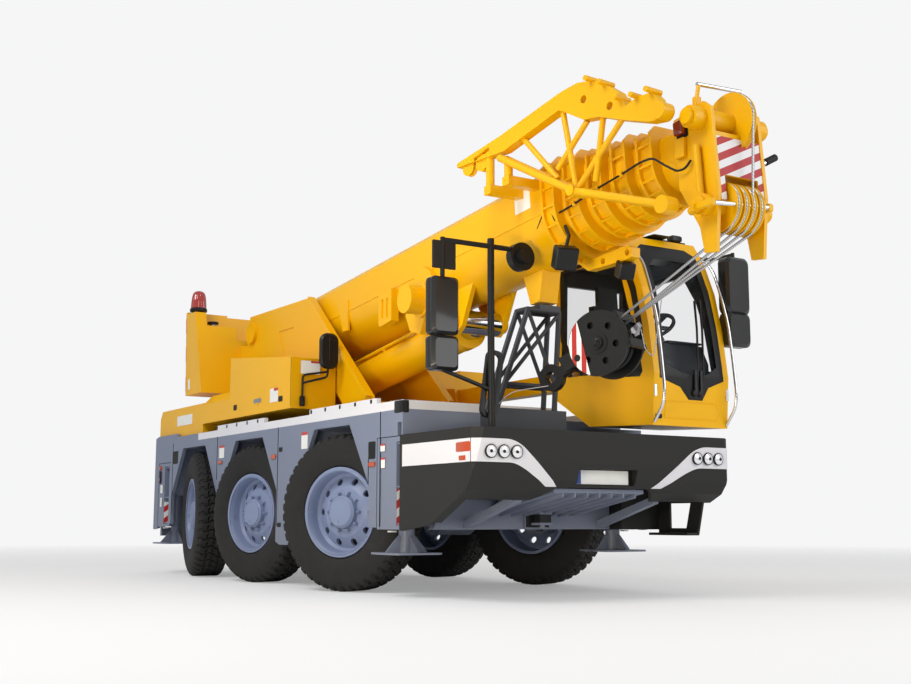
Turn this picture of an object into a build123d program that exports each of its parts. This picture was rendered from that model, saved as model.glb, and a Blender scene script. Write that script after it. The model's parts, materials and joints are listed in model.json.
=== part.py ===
"""Compact three-axle truck crane with one cab, telescopic boom and stowed folding jib.

Frame: +X forward, +Y to the machine's left, +Z up, millimetres, ground at z = 0.
The machine stands on its wheels, steered as when it crawls round a corner, with
the boom on its rest and the outriggers in.
"""
from build123d import *
from math import atan2, cos, radians, sin, sqrt
import os

os.makedirs("parts", exist_ok=True)

# ---------------------------------------------------------------- driving sizes
PIN_GAP = 0.3            # running gap at pins, hubs and slide pads
SLIDE_GAP = 6.0          # gap round a sliding beam or between nested pieces

# wheels: axle name, place along X, steering angle at rest (degrees, left positive)
AXLES = (
    ("front", 280.0, 24.0),
    ("middle", -1603.0, 13.0),
    ("rear", -3182.0, -12.0),
)
SIDES = (("left", 1.0), ("right", -1.0))
TYRE_RADIUS = 685.0
TYRE_WIDTH = 385.0
RIM_RADIUS = 391.0
WHEEL_FACE_Y = 1258.0    # outer face of a tyre that points straight ahead
KINGPIN_INSET = 320.0    # from the tyre's outer face to the kingpin
ARCH_GAP = 28.0          # tyre to wheel arch

# carrier
SIDE_Y = 1240.0          # outer face of the side panels
PANEL_WALL = 40.0
DECK_TOP = 1500.0
DECK_THICK = 45.0
FRAME_HALF = 430.0
FRAME_BOTTOM = 930.0
FRAME_TOP = 1400.0
FRAME_WALL = 16.0
RAIL_HEIGHT = 73.0
BUMPER_HALF = 1265.0
BUMPER_TOP = 1288.0
BUMPER_FRONT = 2666.0
BUMPER_WALL = 40.0
REST_X = 2130.0          # boom rest

# outriggers
BOX_WIDTH = 380.0
BOX_HEIGHT = 280.0
BOX_BOTTOM = 1000.0
BOX_WALL = 10.0
FRONT_BOX_X = 1337.0
REAR_BOX_X = -4150.0
JACK_RADIUS = 85.0
PAD_BOTTOM = 340.0
PAD_WIDTH = 450.0

# superstructure
SLEW_X = -920.0
RING_RADIUS = 600.0
RING_BOTTOM = 1560.0
PLATFORM_BOTTOM = 1640.0
PLATFORM_TOP = 1700.0
BOOM_Y = -250.0          # centre plane of the boom
CHEEK_WALL = 30.0
CHEEK_SPACE = 400.0      # centre plane of the boom to the inner face of a cheek plate

# boom
PIVOT_X = -2900.0
PIVOT_Z = 2790.0
PIVOT_DROP = 60.0        # hinge pin below the boom's datum
BOOM_ANGLE = 5.1
SECTION_HALF = 340.0     # half width of the base section, and radius of its round belly
SECTION_WALL = 10.0
SECTION_STEP = 28.0      # each inner section is this much smaller all round
SECTION_TOP = 38.0       # top plate above the pivot
BASE_TAIL = -250.0
BASE_MOUTH = 5700.0
MOUTH_STEP = 250.0
COLLAR_RISE = 50.0       # rings at both ends of a collar
BAND_RISE = 20.0
COLLAR_LENGTH = 170.0
RING_LENGTH = 24.0
SECTIONS = 5             # sliding sections; the last one carries the head
HEAD_LENGTH = 300.0

# luffing cylinder
FOOT_PIN = (-1500.0, 1960.0)
ROD_PIN = (1150.0, 2330.0)
BARREL_RADIUS = 175.0
GLAND_RISE = 8.0
ROD_RADIUS = 110.0

# cab
CAB_RIGHT = 393.0
CAB_LEFT = 1200.0
CAB_WALL = 45.0

KINGPIN_Y = WHEEL_FACE_Y - KINGPIN_INSET
LIP_V = SECTION_TOP - SECTION_HALF


def side_plane(y):
    """Vertical plane along the machine at y; sketches on it are (x, z), extruded towards -Y."""
    return Plane.XZ.offset(-y)


def slab(points, y_low, y_high, mode=Mode.ADD):
    """Plate cut to an (x, z) outline, from y_low to y_high."""
    with BuildSketch(side_plane(y_high)) as face:
        with BuildLine():
            Polyline(*points, close=True)
        make_face()
    return extrude(face.sketch, amount=y_high - y_low, mode=mode)


def cross_slab(points, x_low, x_high, mode=Mode.ADD):
    """Plate cut to a (y, z) outline, from x_low to x_high."""
    with BuildSketch(Plane.YZ.offset(x_low)) as face:
        with BuildLine():
            Polyline(*points, close=True)
        make_face()
    return extrude(face.sketch, amount=x_high - x_low, mode=mode)


def floor_slab(points, z_low, z_high, mode=Mode.ADD):
    """Plate cut to an (x, y) outline, from z_low to z_high."""
    with BuildSketch(Plane.XY.offset(z_low)) as face:
        with BuildLine():
            Polyline(*points, close=True)
        make_face()
    return extrude(face.sketch, amount=z_high - z_low, mode=mode)


def block(x_low, x_high, y_low, y_high, z_low, z_high, mode=Mode.ADD):
    """Rectangular block between two corners."""
    with Locations(((x_low + x_high) / 2, (y_low + y_high) / 2, (z_low + z_high) / 2)):
        return Box(x_high - x_low, y_high - y_low, z_high - z_low, mode=mode)


def bar(start, end, radius, mode=Mode.ADD):
    """Round bar between two points."""
    way = Vector(*end) - Vector(*start)
    with BuildSketch(Plane(origin=start, z_dir=way)) as face:
        Circle(radius)
    return extrude(face.sketch, amount=way.length, mode=mode)


def cross_bar(x, z, y_low, y_high, radius, mode=Mode.ADD):
    """Round bar across the machine."""
    return bar((x, y_low, z), (x, y_high, z), radius, mode)


def save(piece, node):
    """Label a finished piece and write its STEP file."""
    piece.part.label = node
    export_step(piece.part, f"parts/{node}.step")


# ---------------------------------------------------------------- wheels and axles
def wheel_frame(axle_x, side, steer):
    """Plane through a wheel's axis: local x outwards from the kingpin, local y up."""
    turn = radians(steer)
    outward = Vector(-side * sin(turn), side * cos(turn), 0)
    centre = (axle_x, side * KINGPIN_Y, TYRE_RADIUS)
    return Plane(origin=centre, x_dir=outward, z_dir=outward.cross(Vector(0, 0, 1)))


def spin(frame, points):
    """Ring turned about the wheel's axis from an (outward, radius) outline."""
    with BuildSketch(frame) as face:
        with BuildLine():
            Polyline(*points, close=True)
        make_face()
    revolve(face.sketch, axis=Axis(frame.origin, frame.x_dir))


TYRE_OUT = KINGPIN_INSET
TYRE_IN = KINGPIN_INSET - TYRE_WIDTH
DISC_FACE = 150.0        # wheel disc, inner face, outwards from the kingpin
DRUM_RADIUS = 205.0
HUB_RADIUS = 140.0
HUB_FACE = DISC_FACE + 135.0
BOLT_RADIUS = 168.0
HOLE_RING = 272.0
HOLE_RADIUS = 31.0
HAND_HOLES = 10
EAR_LOW = 120.0          # kingpin fist half height
EAR_WALL = 55.0
FIST_RADIUS = 70.0

for axle, axle_x, steer in AXLES:
    for side_name, side in SIDES:
        frame = wheel_frame(axle_x, side, steer)

        with BuildPart() as tyre:
            spin(frame, (
                (TYRE_IN + 38, RIM_RADIUS + PIN_GAP),
                (TYRE_IN, RIM_RADIUS + 70),
                (TYRE_IN, TYRE_RADIUS - 60),
                (TYRE_IN + 30, TYRE_RADIUS - 8),
                (TYRE_IN + 70, TYRE_RADIUS),
                (TYRE_OUT - 70, TYRE_RADIUS),
                (TYRE_OUT - 30, TYRE_RADIUS - 8),
                (TYRE_OUT, TYRE_RADIUS - 60),
                (TYRE_OUT, RIM_RADIUS + 70),
                (TYRE_OUT - 38, RIM_RADIUS + PIN_GAP),
            ))
        save(tyre, f"tyre_{axle}_{side_name}")

        with BuildPart() as rim:
            spin(frame, (
                (TYRE_IN + 20, RIM_RADIUS),
                (TYRE_OUT - 20, RIM_RADIUS),
                (TYRE_OUT - 20, RIM_RADIUS - 18),
                (TYRE_OUT - 36, RIM_RADIUS - 36),
                (TYRE_OUT - 62, RIM_RADIUS - 44),
                (DISC_FACE + 44, RIM_RADIUS - 52),
                (DISC_FACE + 22, RIM_RADIUS - 78),
                (DISC_FACE + 72, BOLT_RADIUS + 48),
                (DISC_FACE + 78, HUB_RADIUS + 6),
                (HUB_FACE - 14, HUB_RADIUS),
                (HUB_FACE, HUB_RADIUS - 16),
                (HUB_FACE, 0),
                (DISC_FACE + PIN_GAP, 0),
                (DISC_FACE + PIN_GAP, DRUM_RADIUS + 8),
                (DISC_FACE + 46, DRUM_RADIUS + 12),
                (DISC_FACE - 6, RIM_RADIUS - 92),
                (DISC_FACE + 14, RIM_RADIUS - 40),
                (TYRE_IN + 20, RIM_RADIUS - 28),
            ))
            with BuildSketch(Plane(origin=frame.origin + frame.x_dir * (DISC_FACE - 60),
                                   z_dir=frame.x_dir)) as hand_holes:
                with PolarLocations(HOLE_RING, HAND_HOLES):
                    Circle(HOLE_RADIUS)
            extrude(hand_holes.sketch, amount=160, mode=Mode.SUBTRACT)
        save(rim, f"rim_{axle}_{side_name}")

        with BuildPart() as knuckle:
            spin(frame, (
                (FIST_RADIUS + 12, 0),
                (FIST_RADIUS + 12, DRUM_RADIUS),
                (DISC_FACE, DRUM_RADIUS),
                (DISC_FACE, 0),
            ))
            for level in (EAR_LOW + PIN_GAP, -EAR_LOW - PIN_GAP - EAR_WALL):
                with BuildSketch(Plane(origin=frame.origin + Vector(0, 0, level),
                                       x_dir=frame.x_dir)) as ear:
                    Circle(FIST_RADIUS + 5)
                    with Locations(((FIST_RADIUS + 20) / 2, 0)):
                        Rectangle(FIST_RADIUS + 20, 2 * FIST_RADIUS + 10)
                extrude(ear.sketch, amount=EAR_WALL)
        save(knuckle, f"knuckle_{axle}_{side_name}")

STRUT_Y = 560.0
STRUT_TOP = 1150.0
BEAM_RADIUS = 92.0
SHAFT_RADIUS = 45.0

DIFF_RADIUS = 205.0
DIFF_HALF = 190.0

with BuildPart() as axle_beams:
    bar((AXLES[2][1], 0, TYRE_RADIUS), (AXLES[0][1], 0, TYRE_RADIUS), SHAFT_RADIUS)
    for axle, axle_x, steer in AXLES:
        cross_bar(axle_x, TYRE_RADIUS, -KINGPIN_Y, KINGPIN_Y, BEAM_RADIUS)
        cross_bar(axle_x, TYRE_RADIUS, -DIFF_HALF, DIFF_HALF, DIFF_RADIUS)
        for side_name, side in SIDES:
            foot = (axle_x, side * KINGPIN_Y, TYRE_RADIUS - EAR_LOW)
            bar(foot, (foot[0], foot[1], TYRE_RADIUS + EAR_LOW), FIST_RADIUS)
            post = (axle_x, side * STRUT_Y, TYRE_RADIUS)
            bar(post, (post[0], post[1], STRUT_TOP), 52)
save(axle_beams, "axle_beams")

# ---------------------------------------------------------------- chassis frame
FRAME_REAR = REAR_BOX_X + BOX_WIDTH / 2
FRAME_FRONT = FRONT_BOX_X - BOX_WIDTH / 2
CROSS_MEMBERS = (-2390.0, -680.0, 900.0)

with BuildPart() as chassis_frame:
    block(FRAME_REAR, FRAME_FRONT, -FRAME_HALF, FRAME_HALF, FRAME_BOTTOM, FRAME_TOP)
    block(FRAME_REAR, FRAME_FRONT, FRAME_WALL - FRAME_HALF, FRAME_HALF - FRAME_WALL,
          FRAME_BOTTOM + FRAME_WALL, FRAME_TOP - FRAME_WALL, mode=Mode.SUBTRACT)
    with BuildSketch(Plane.XY.offset(FRAME_TOP)) as pedestal:
        with Locations((SLEW_X, 0)):
            Circle(RING_RADIUS)
            Circle(RING_RADIUS - 90, mode=Mode.SUBTRACT)
    extrude(pedestal.sketch, amount=RING_BOTTOM - FRAME_TOP)
    for member_x in CROSS_MEMBERS:
        block(member_x - 40, member_x + 40, PANEL_WALL - SIDE_Y, SIDE_Y - PANEL_WALL,
              FRAME_TOP, DECK_TOP - DECK_THICK)
    for axle, axle_x, steer in AXLES:
        for side_name, side in SIDES:
            inner = side * (FRAME_HALF - 5)
            outer = side * (STRUT_Y + 80)
            block(axle_x - 80, axle_x + 80, min(inner, outer), max(inner, outer),
                  STRUT_TOP, STRUT_TOP + 170)
save(chassis_frame, "chassis_frame")

# ---------------------------------------------------------------- outriggers
BAY = (BOX_WIDTH - 3 * BOX_WALL) / 2
BEAM_WIDTH = BAY - 2 * SLIDE_GAP
BEAM_HEIGHT = BOX_HEIGHT - 2 * BOX_WALL - 2 * SLIDE_GAP
JACK_Y = 1070.0
BEAM_OUT_Y = JACK_Y - JACK_RADIUS + 20
BEAM_TAIL_Y = 900.0
COVER_TOP = BOX_BOTTOM + BOX_HEIGHT + 1
COVER_BOTTOM = 540.0
COVER_HALF = BOX_WIDTH / 2 + 12
COVER_GAP = 6.0
SLOT_TOP = COVER_TOP - 40
SLOT_BOTTOM = COVER_BOTTOM + 30
RUNGS = (SLOT_BOTTOM + 12, 880.0, SLOT_TOP - 12)
RUNG_RADIUS = 9.0

with BuildPart() as outrigger_boxes:
    for box_x in (FRONT_BOX_X, REAR_BOX_X):
        x_low = box_x - BOX_WIDTH / 2
        reach = JACK_Y - JACK_RADIUS - 25
        block(x_low, x_low + BOX_WIDTH, -reach, reach, BOX_BOTTOM, BOX_BOTTOM + BOX_HEIGHT)
        for bay in (0, 1):
            bay_low = x_low + BOX_WALL + bay * (BAY + BOX_WALL)
            block(bay_low, bay_low + BAY, -reach, reach, BOX_BOTTOM + BOX_WALL,
                  BOX_BOTTOM + BOX_HEIGHT - BOX_WALL, mode=Mode.SUBTRACT)
save(outrigger_boxes, "outrigger_boxes")

# corner name, box centre, side, bay its beam runs in (0 rear, 1 front), slot in the cover
OUTRIGGERS = (
    ("front_left", FRONT_BOX_X, 1.0, 0, (118.0, 188.0)),
    ("front_right", FRONT_BOX_X, -1.0, 1, (118.0, 188.0)),
    ("rear_left", REAR_BOX_X, 1.0, 0, (-7.0, 160.0)),
    ("rear_right", REAR_BOX_X, -1.0, 1, (-7.0, 160.0)),
)
JACK_TOP = COVER_TOP - 10
JACK_BOTTOM = 560.0
JACK_WALL = 20.0
SOLE_THICK = 16.0
CONE_TOP = PAD_BOTTOM + 150
CONE_RADIUS = 58.0
RIB_WALL = 8.0
for corner, box_x, side, bay, slot in OUTRIGGERS:
    bay_low = box_x - BOX_WIDTH / 2 + BOX_WALL + bay * (BAY + BOX_WALL)
    beam_low = bay_low + SLIDE_GAP
    beam_y = sorted((-side * BEAM_TAIL_Y, side * BEAM_OUT_Y))
    jack_y = side * JACK_Y
    with BuildPart() as outrigger_beam:
        block(beam_low, beam_low + BEAM_WIDTH, beam_y[0], beam_y[1],
              BOX_BOTTOM + BOX_WALL + PIN_GAP, BOX_BOTTOM + BOX_WALL + PIN_GAP + BEAM_HEIGHT)
        bar((box_x, jack_y, JACK_BOTTOM), (box_x, jack_y, JACK_TOP), JACK_RADIUS)
        head = sorted((side * (JACK_Y - JACK_RADIUS + 10), side * (JACK_Y + 20)))
        block(box_x - 130, box_x + 130, head[0], head[1], BOX_BOTTOM + 30,
              BOX_BOTTOM + BOX_HEIGHT - 30)
        cover = sorted((side * (JACK_Y + JACK_RADIUS - 10), side * (SIDE_Y - 5)))
        block(box_x - COVER_HALF, box_x + COVER_HALF, cover[0], cover[1],
              COVER_BOTTOM, COVER_TOP)
        block(box_x + slot[0], box_x + slot[1], cover[0], cover[1],
              SLOT_BOTTOM, SLOT_TOP, mode=Mode.SUBTRACT)
        rung_y = side * (SIDE_Y - 5 - 2 * RUNG_RADIUS)
        for rung_z in RUNGS:
            bar((box_x + slot[0], rung_y, rung_z), (box_x + slot[1], rung_y, rung_z), RUNG_RADIUS)
        bar((box_x, jack_y, JACK_BOTTOM), (box_x, jack_y, JACK_TOP - JACK_WALL),
            JACK_RADIUS - JACK_WALL, mode=Mode.SUBTRACT)
    save(outrigger_beam, f"outrigger_beam_{corner}")

    with BuildPart() as jack:
        bar((box_x, jack_y, PAD_BOTTOM + SOLE_THICK), (box_x, jack_y, JACK_TOP - 60),
            JACK_RADIUS - JACK_WALL - PIN_GAP)
        with BuildSketch(Plane.XY.offset(PAD_BOTTOM)) as sole:
            with Locations((box_x, jack_y)):
                RectangleRounded(PAD_WIDTH, PAD_WIDTH, 0.12 * PAD_WIDTH)
        extrude(sole.sketch, amount=SOLE_THICK)
        for turn in (0, 90):
            with BuildSketch(Plane(origin=(box_x, jack_y, PAD_BOTTOM + SOLE_THICK),
                                   x_dir=(cos(radians(turn)), sin(radians(turn)), 0),
                                   z_dir=(sin(radians(turn)), -cos(radians(turn)), 0))) as rib:
                half = 0.42 * PAD_WIDTH
                rise = CONE_TOP - PAD_BOTTOM - SOLE_THICK
                with BuildLine():
                    Polyline((-half, -1), (half, -1), (half, 8), (CONE_RADIUS + 20, rise),
                             (-CONE_RADIUS - 20, rise), (-half, 8), close=True)
                make_face()
            extrude(rib.sketch, amount=RIB_WALL, both=True)
    save(jack, f"jack_{corner}")

# ---------------------------------------------------------------- body panels and deck
PANEL_REAR = -4500.0
PANEL_FRONT = 1560.0
NOSE_TOP = 1248.0
CAB_NOTCH_X = 1270.0     # the left front corner of the deck ends here, under the cab's path
CAB_NOTCH_Y = 300.0
CAB_NOTCH_TOP = 1420.0
HOOD_FRONT = -3060.0
TAIL_TOP = DECK_TOP + RAIL_HEIGHT   # side panels beside the hood
TAIL_CREST = 1609.0
CREST_FRONT = -3780.0
ARCH_TOP_HALF = 350.0
ARCH_SIDE = TYRE_RADIUS + ARCH_GAP + 2
ARCH_SHOULDER = 215.0
ARCH_RISE = TYRE_RADIUS + ARCH_GAP + 32


def arch_points(axle_x):
    """Wheel arch in a side panel: upright sides, slanted shoulders and a flat top."""
    shoulder = TYRE_RADIUS + ARCH_SHOULDER
    crown = TYRE_RADIUS + ARCH_RISE
    return (
        (axle_x - ARCH_SIDE, 300.0), (axle_x - ARCH_SIDE, shoulder),
        (axle_x - ARCH_TOP_HALF, crown), (axle_x + ARCH_TOP_HALF, crown),
        (axle_x + ARCH_SIDE, shoulder), (axle_x + ARCH_SIDE, 300.0),
    )


LINER_WALL = 10.0
LINER_SIDE = sqrt(TYRE_RADIUS ** 2 + KINGPIN_INSET ** 2) - 10
LINER_TOP_HALF = 485.0


def liner_points(axle_x, grow):
    """Inner arch over a wheel that swings round its kingpin."""
    side = LINER_SIDE + grow
    top_half = LINER_TOP_HALF + grow
    shoulder = TYRE_RADIUS + ARCH_SHOULDER
    crown = TYRE_RADIUS + ARCH_RISE + grow
    return ((axle_x - side, shoulder), (axle_x - top_half, crown),
            (axle_x + top_half, crown), (axle_x + side, shoulder))


RECESS_TOP = 1395.0
with BuildPart() as body_panels:
    for side_name, side in SIDES:
        y_low, y_high = sorted((side * (SIDE_Y - PANEL_WALL), side * SIDE_Y))
        slab((
            (PANEL_REAR, 506), (AXLES[2][1] - ARCH_SIDE, 575), (-2390, 900), (-800, 385),
            (-560, 385), (AXLES[0][1] + ARCH_SIDE + 8, 560), (PANEL_FRONT, 531),
            (PANEL_FRONT, DECK_TOP), (HOOD_FRONT, DECK_TOP), (HOOD_FRONT, TAIL_TOP),
            (CREST_FRONT + 25, TAIL_TOP), (CREST_FRONT, TAIL_CREST),
            (PANEL_REAR + 110, TAIL_CREST), (PANEL_REAR, TAIL_CREST - 20),
        ), y_low, y_high)
        if side > 0:
            block(CAB_NOTCH_X, PANEL_FRONT, y_low, y_high, CAB_NOTCH_TOP, DECK_TOP,
                  mode=Mode.SUBTRACT)
        for axle, axle_x, steer in AXLES:
            slab(arch_points(axle_x), y_low, y_high, mode=Mode.SUBTRACT)
        for corner, box_x, box_side, bay, slot in OUTRIGGERS:
            if box_side != side:
                continue
            block(box_x - COVER_HALF - COVER_GAP, box_x + COVER_HALF + COVER_GAP, y_low, y_high,
                  400, COVER_TOP + COVER_GAP, mode=Mode.SUBTRACT)
        block(FRONT_BOX_X + 141, FRONT_BOX_X + 205, y_low, y_high, COVER_TOP, RECESS_TOP,
              mode=Mode.SUBTRACT)
    block(PANEL_REAR, PANEL_REAR + 40, PANEL_WALL - SIDE_Y, SIDE_Y - PANEL_WALL, 700, DECK_TOP - DECK_THICK)
    for y_low in (-1150.0, 1110.0):
        block(PANEL_REAR, PANEL_REAR + 60, y_low, y_low + 40, 430, 720)
    block(PANEL_REAR, PANEL_REAR + 60, -1150, 1150, 430, 530)
save(body_panels, "body_panels")

with BuildPart() as arch_liners:
    for side_name, side in SIDES:
        y_low, y_high = sorted((side * (FRAME_HALF + 220), side * (SIDE_Y - PANEL_WALL)))
        for axle, axle_x, steer in AXLES:
            with BuildPart() as liner:
                slab(liner_points(axle_x, LINER_WALL), y_low, y_high)
                slab(liner_points(axle_x, 0.0), y_low, y_high, mode=Mode.SUBTRACT)
            add(liner.part)
save(arch_liners, "arch_liners")

DECK_HOLE = (REAR_BOX_X - 110, HOOD_FRONT - 160, 350.0)
STEP_TOP = CAB_NOTCH_TOP
STEP_BOTTOM = STEP_TOP - DECK_THICK
with BuildPart() as deck:
    edge = SIDE_Y - PANEL_WALL
    floor_slab((
        (PANEL_REAR, -edge), (PANEL_FRONT, -edge), (PANEL_FRONT, CAB_NOTCH_Y),
        (CAB_NOTCH_X, CAB_NOTCH_Y), (CAB_NOTCH_X, edge), (PANEL_REAR, edge),
    ), DECK_TOP - DECK_THICK, DECK_TOP)
    with BuildSketch(Plane.XY.offset(DECK_TOP)) as ring_hole:
        with Locations((SLEW_X, 0)):
            Circle(RING_RADIUS + PIN_GAP)
    extrude(ring_hole.sketch, amount=-DECK_THICK, mode=Mode.SUBTRACT)
    block(DECK_HOLE[0], DECK_HOLE[1], -DECK_HOLE[2], DECK_HOLE[2],
          DECK_TOP - DECK_THICK, DECK_TOP, mode=Mode.SUBTRACT)
    for box_x in (FRONT_BOX_X, REAR_BOX_X):
        for y_low in (-FRAME_HALF, DECK_HOLE[2] + 10):
            block(box_x - 150, box_x + 150, y_low, y_low + FRAME_HALF - DECK_HOLE[2] - 10,
                  BOX_BOTTOM + BOX_HEIGHT, DECK_TOP - DECK_THICK)
    block(CAB_NOTCH_X - 40, PANEL_FRONT, CAB_NOTCH_Y - 40, edge, STEP_BOTTOM, STEP_TOP)
    block(CAB_NOTCH_X - 40, CAB_NOTCH_X, CAB_NOTCH_Y - 40, edge, STEP_BOTTOM, DECK_TOP)
    block(CAB_NOTCH_X - 40, PANEL_FRONT, CAB_NOTCH_Y - 40, CAB_NOTCH_Y, STEP_BOTTOM, DECK_TOP)
    block(PANEL_FRONT - 12, PANEL_FRONT, -edge, CAB_NOTCH_Y, NOSE_TOP, DECK_TOP - DECK_THICK)
save(deck, "deck")

# rail pieces on the deck's edge: x from, x to, height above the deck, side
STEP_STRIPS = ((-177.0, 1119.0), (-2486.0, -1217.0))
with BuildPart() as deck_rails:
    for side_name, side in SIDES:
        y_low, y_high = sorted((side * SIDE_Y, side * (SIDE_Y - PANEL_WALL)))
        front = CAB_NOTCH_X if side > 0 else PANEL_FRONT
        block(HOOD_FRONT + PIN_GAP, front, y_low, y_high, DECK_TOP, DECK_TOP + RAIL_HEIGHT)
        for strip_low, strip_high in STEP_STRIPS:
            block(strip_low, strip_high, y_low, y_high, DECK_TOP + RAIL_HEIGHT,
                  DECK_TOP + RAIL_HEIGHT + 47)
    block(PANEL_FRONT - PANEL_WALL, PANEL_FRONT, PANEL_WALL - SIDE_Y, CAB_NOTCH_Y,
          DECK_TOP, DECK_TOP + RAIL_HEIGHT)
save(deck_rails, "deck_rails")

# ---------------------------------------------------------------- bumper and nose
CHIN = ((2030.0, 582.0), (2532.0, 830.0), (2594.0, 911.0), (2632.0, 1041.0))
BUMPER_REAR = PANEL_FRONT
LOBE_INNER = 455.0
LOBE_OUTER = 600.0
LOBE_BOTTOM = 861.0      # underside between the lobes
LOBE_LOW = 767.0         # underside of the lobes
CHIN_Y = 1177.0          # the low chin is outside this
POCKET = (288.0, 882.0, 1006.0)          # recess for the plate: half width, bottom, top
POCKET_BACK = 2535.0
STEP_Y = (1100.0, 1236.0)
STEP_CUT = ((1790.0, 400.0), (1790.0, 762.0), (2480.0, 762.0), (2480.0, 400.0))
with BuildPart() as front_bumper:
    slab(((BUMPER_REAR, 531),) + CHIN + ((BUMPER_FRONT, BUMPER_TOP), (BUMPER_REAR, BUMPER_TOP)),
         -BUMPER_HALF, BUMPER_HALF)
    slab(((BUMPER_REAR, 400), (2030, 400), (2030 - 20, 570), (2532 - 20, 840),
          (2594 - BUMPER_WALL, 920), (2632 - BUMPER_WALL, 1041),
          (BUMPER_FRONT - BUMPER_WALL, BUMPER_TOP - BUMPER_WALL),
          (BUMPER_REAR, BUMPER_TOP - BUMPER_WALL)),
         BUMPER_WALL - BUMPER_HALF, BUMPER_HALF - BUMPER_WALL, mode=Mode.SUBTRACT)
    cross_slab(((-CHIN_Y, 400), (-CHIN_Y, LOBE_LOW), (-LOBE_OUTER, LOBE_LOW),
                (-LOBE_INNER, LOBE_BOTTOM), (LOBE_INNER, LOBE_BOTTOM), (LOBE_OUTER, LOBE_LOW),
                (CHIN_Y, LOBE_LOW), (CHIN_Y, 400)), BUMPER_REAR, BUMPER_FRONT, mode=Mode.SUBTRACT)
    for side_name, side in SIDES:
        floor_slab(((BUMPER_FRONT + 10, side * CHIN_Y), (BUMPER_FRONT + 10, side * (BUMPER_HALF + 10)),
                    (BUMPER_FRONT - 70, side * (BUMPER_HALF + 10))), 400, BUMPER_TOP + 10,
                   mode=Mode.SUBTRACT)
    slab(((POCKET_BACK - 20, LOBE_BOTTOM + 1), (2545, LOBE_BOTTOM + 1), (2585, 915),
          (2600, POCKET[2] + 16), (POCKET_BACK - 20, POCKET[2] + 16)), -POCKET[0] - 17, POCKET[0] + 17)
    block(POCKET_BACK, BUMPER_FRONT + 10, -POCKET[0], POCKET[0], POCKET[1], POCKET[2],
          mode=Mode.SUBTRACT)
    slab(STEP_CUT, CHIN_Y - 90, BUMPER_HALF + 5, mode=Mode.SUBTRACT)
    slab(((1790, 775), (1800, 490), (2285, 490), (2357, 775), (2211, 775), (2150, 550),
          (1946, 550), (1946, 775)), STEP_Y[1] - 20, STEP_Y[1])
    block(1800, 2285, STEP_Y[0], STEP_Y[1], 490, 512)
    block(BUMPER_REAR + 5, 1788, 805, BUMPER_HALF - BUMPER_WALL + 5, 537, 889)
save(front_bumper, "front_bumper")

LAMP_Y = (893.0, 1008.0, 1122.0)
LAMP_Z = 1113.0
LAMP_RADIUS = 45.0
FRONT_SLOPE = (2632.0 - BUMPER_FRONT) / (1041.0 - BUMPER_TOP)


def bumper_face_x(z):
    """X of the bumper's front face at height z."""
    return BUMPER_FRONT + FRONT_SLOPE * (z - BUMPER_TOP)


with BuildPart() as headlamps:
    for side_name, side in SIDES:
        for lamp_y in LAMP_Y:
            face_x = bumper_face_x(LAMP_Z + LAMP_RADIUS)
            bar((face_x, side * lamp_y, LAMP_Z), (face_x + 12, side * lamp_y, LAMP_Z), LAMP_RADIUS)
save(headlamps, "headlamps")

CROSS_BOX = (1565.0, 1640.0)
COUPLING_Z = (550.0, 708.0)
COUPLING_PIN = (1735.0, 0.0)
PIN_RADIUS = 20.0
PLATE_HALF = LOBE_INNER - 10
with BuildPart() as nose_frame:
    block(FRONT_BOX_X + BOX_WIDTH / 2, CROSS_BOX[1], -FRAME_HALF, FRAME_HALF,
          BOX_BOTTOM, BOX_BOTTOM + BOX_HEIGHT - 60)
    cross_slab(((-1000, 540), (-910, 780), (790, 780), (790, 540)), CROSS_BOX[0], CROSS_BOX[1])
    for side_name, side in SIDES:
        y_low, y_high = sorted((side * 300, side * 380))
        block(CROSS_BOX[0], CROSS_BOX[1], y_low, y_high, 770, BOX_BOTTOM + 10)
        slab(((CROSS_BOX[1] - 10, 720), (2480, 850), (2480, NOSE_TOP - 4),
              (CROSS_BOX[1] - 10, NOSE_TOP - 4)), y_low, y_high)
        y_low, y_high = sorted((side * 655, side * 715))
        slab(((CROSS_BOX[1] - 10, 545), (2370, 752), (2370, 812), (CROSS_BOX[1] - 10, 610)),
             y_low, y_high)
    slab(((CROSS_BOX[1] - 10, 680), (2500, 825), (2500, 855), (CROSS_BOX[1] - 10, 730)),
         -PLATE_HALF, PLATE_HALF)
    for rib_y in range(-360, 361, 120):
        slab(((CROSS_BOX[1] - 10, 640), (2500, 790), (2500, 840), (CROSS_BOX[1] - 10, 700)),
             rib_y - 6, rib_y + 6)
    block(CROSS_BOX[1] - 1, CROSS_BOX[1] + 25, -125, 125, COUPLING_Z[0], COUPLING_Z[1])
    for jaw_z in (COUPLING_Z[0] + 25, COUPLING_Z[1] - 45):
        block(CROSS_BOX[1], COUPLING_PIN[0] + 55, -65, 65, jaw_z, jaw_z + 20)
    bar((COUPLING_PIN[0], 0, COUPLING_Z[0] + 5), (COUPLING_PIN[0], 0, COUPLING_Z[1] + 10), PIN_RADIUS)
save(nose_frame, "nose_frame")

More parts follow.
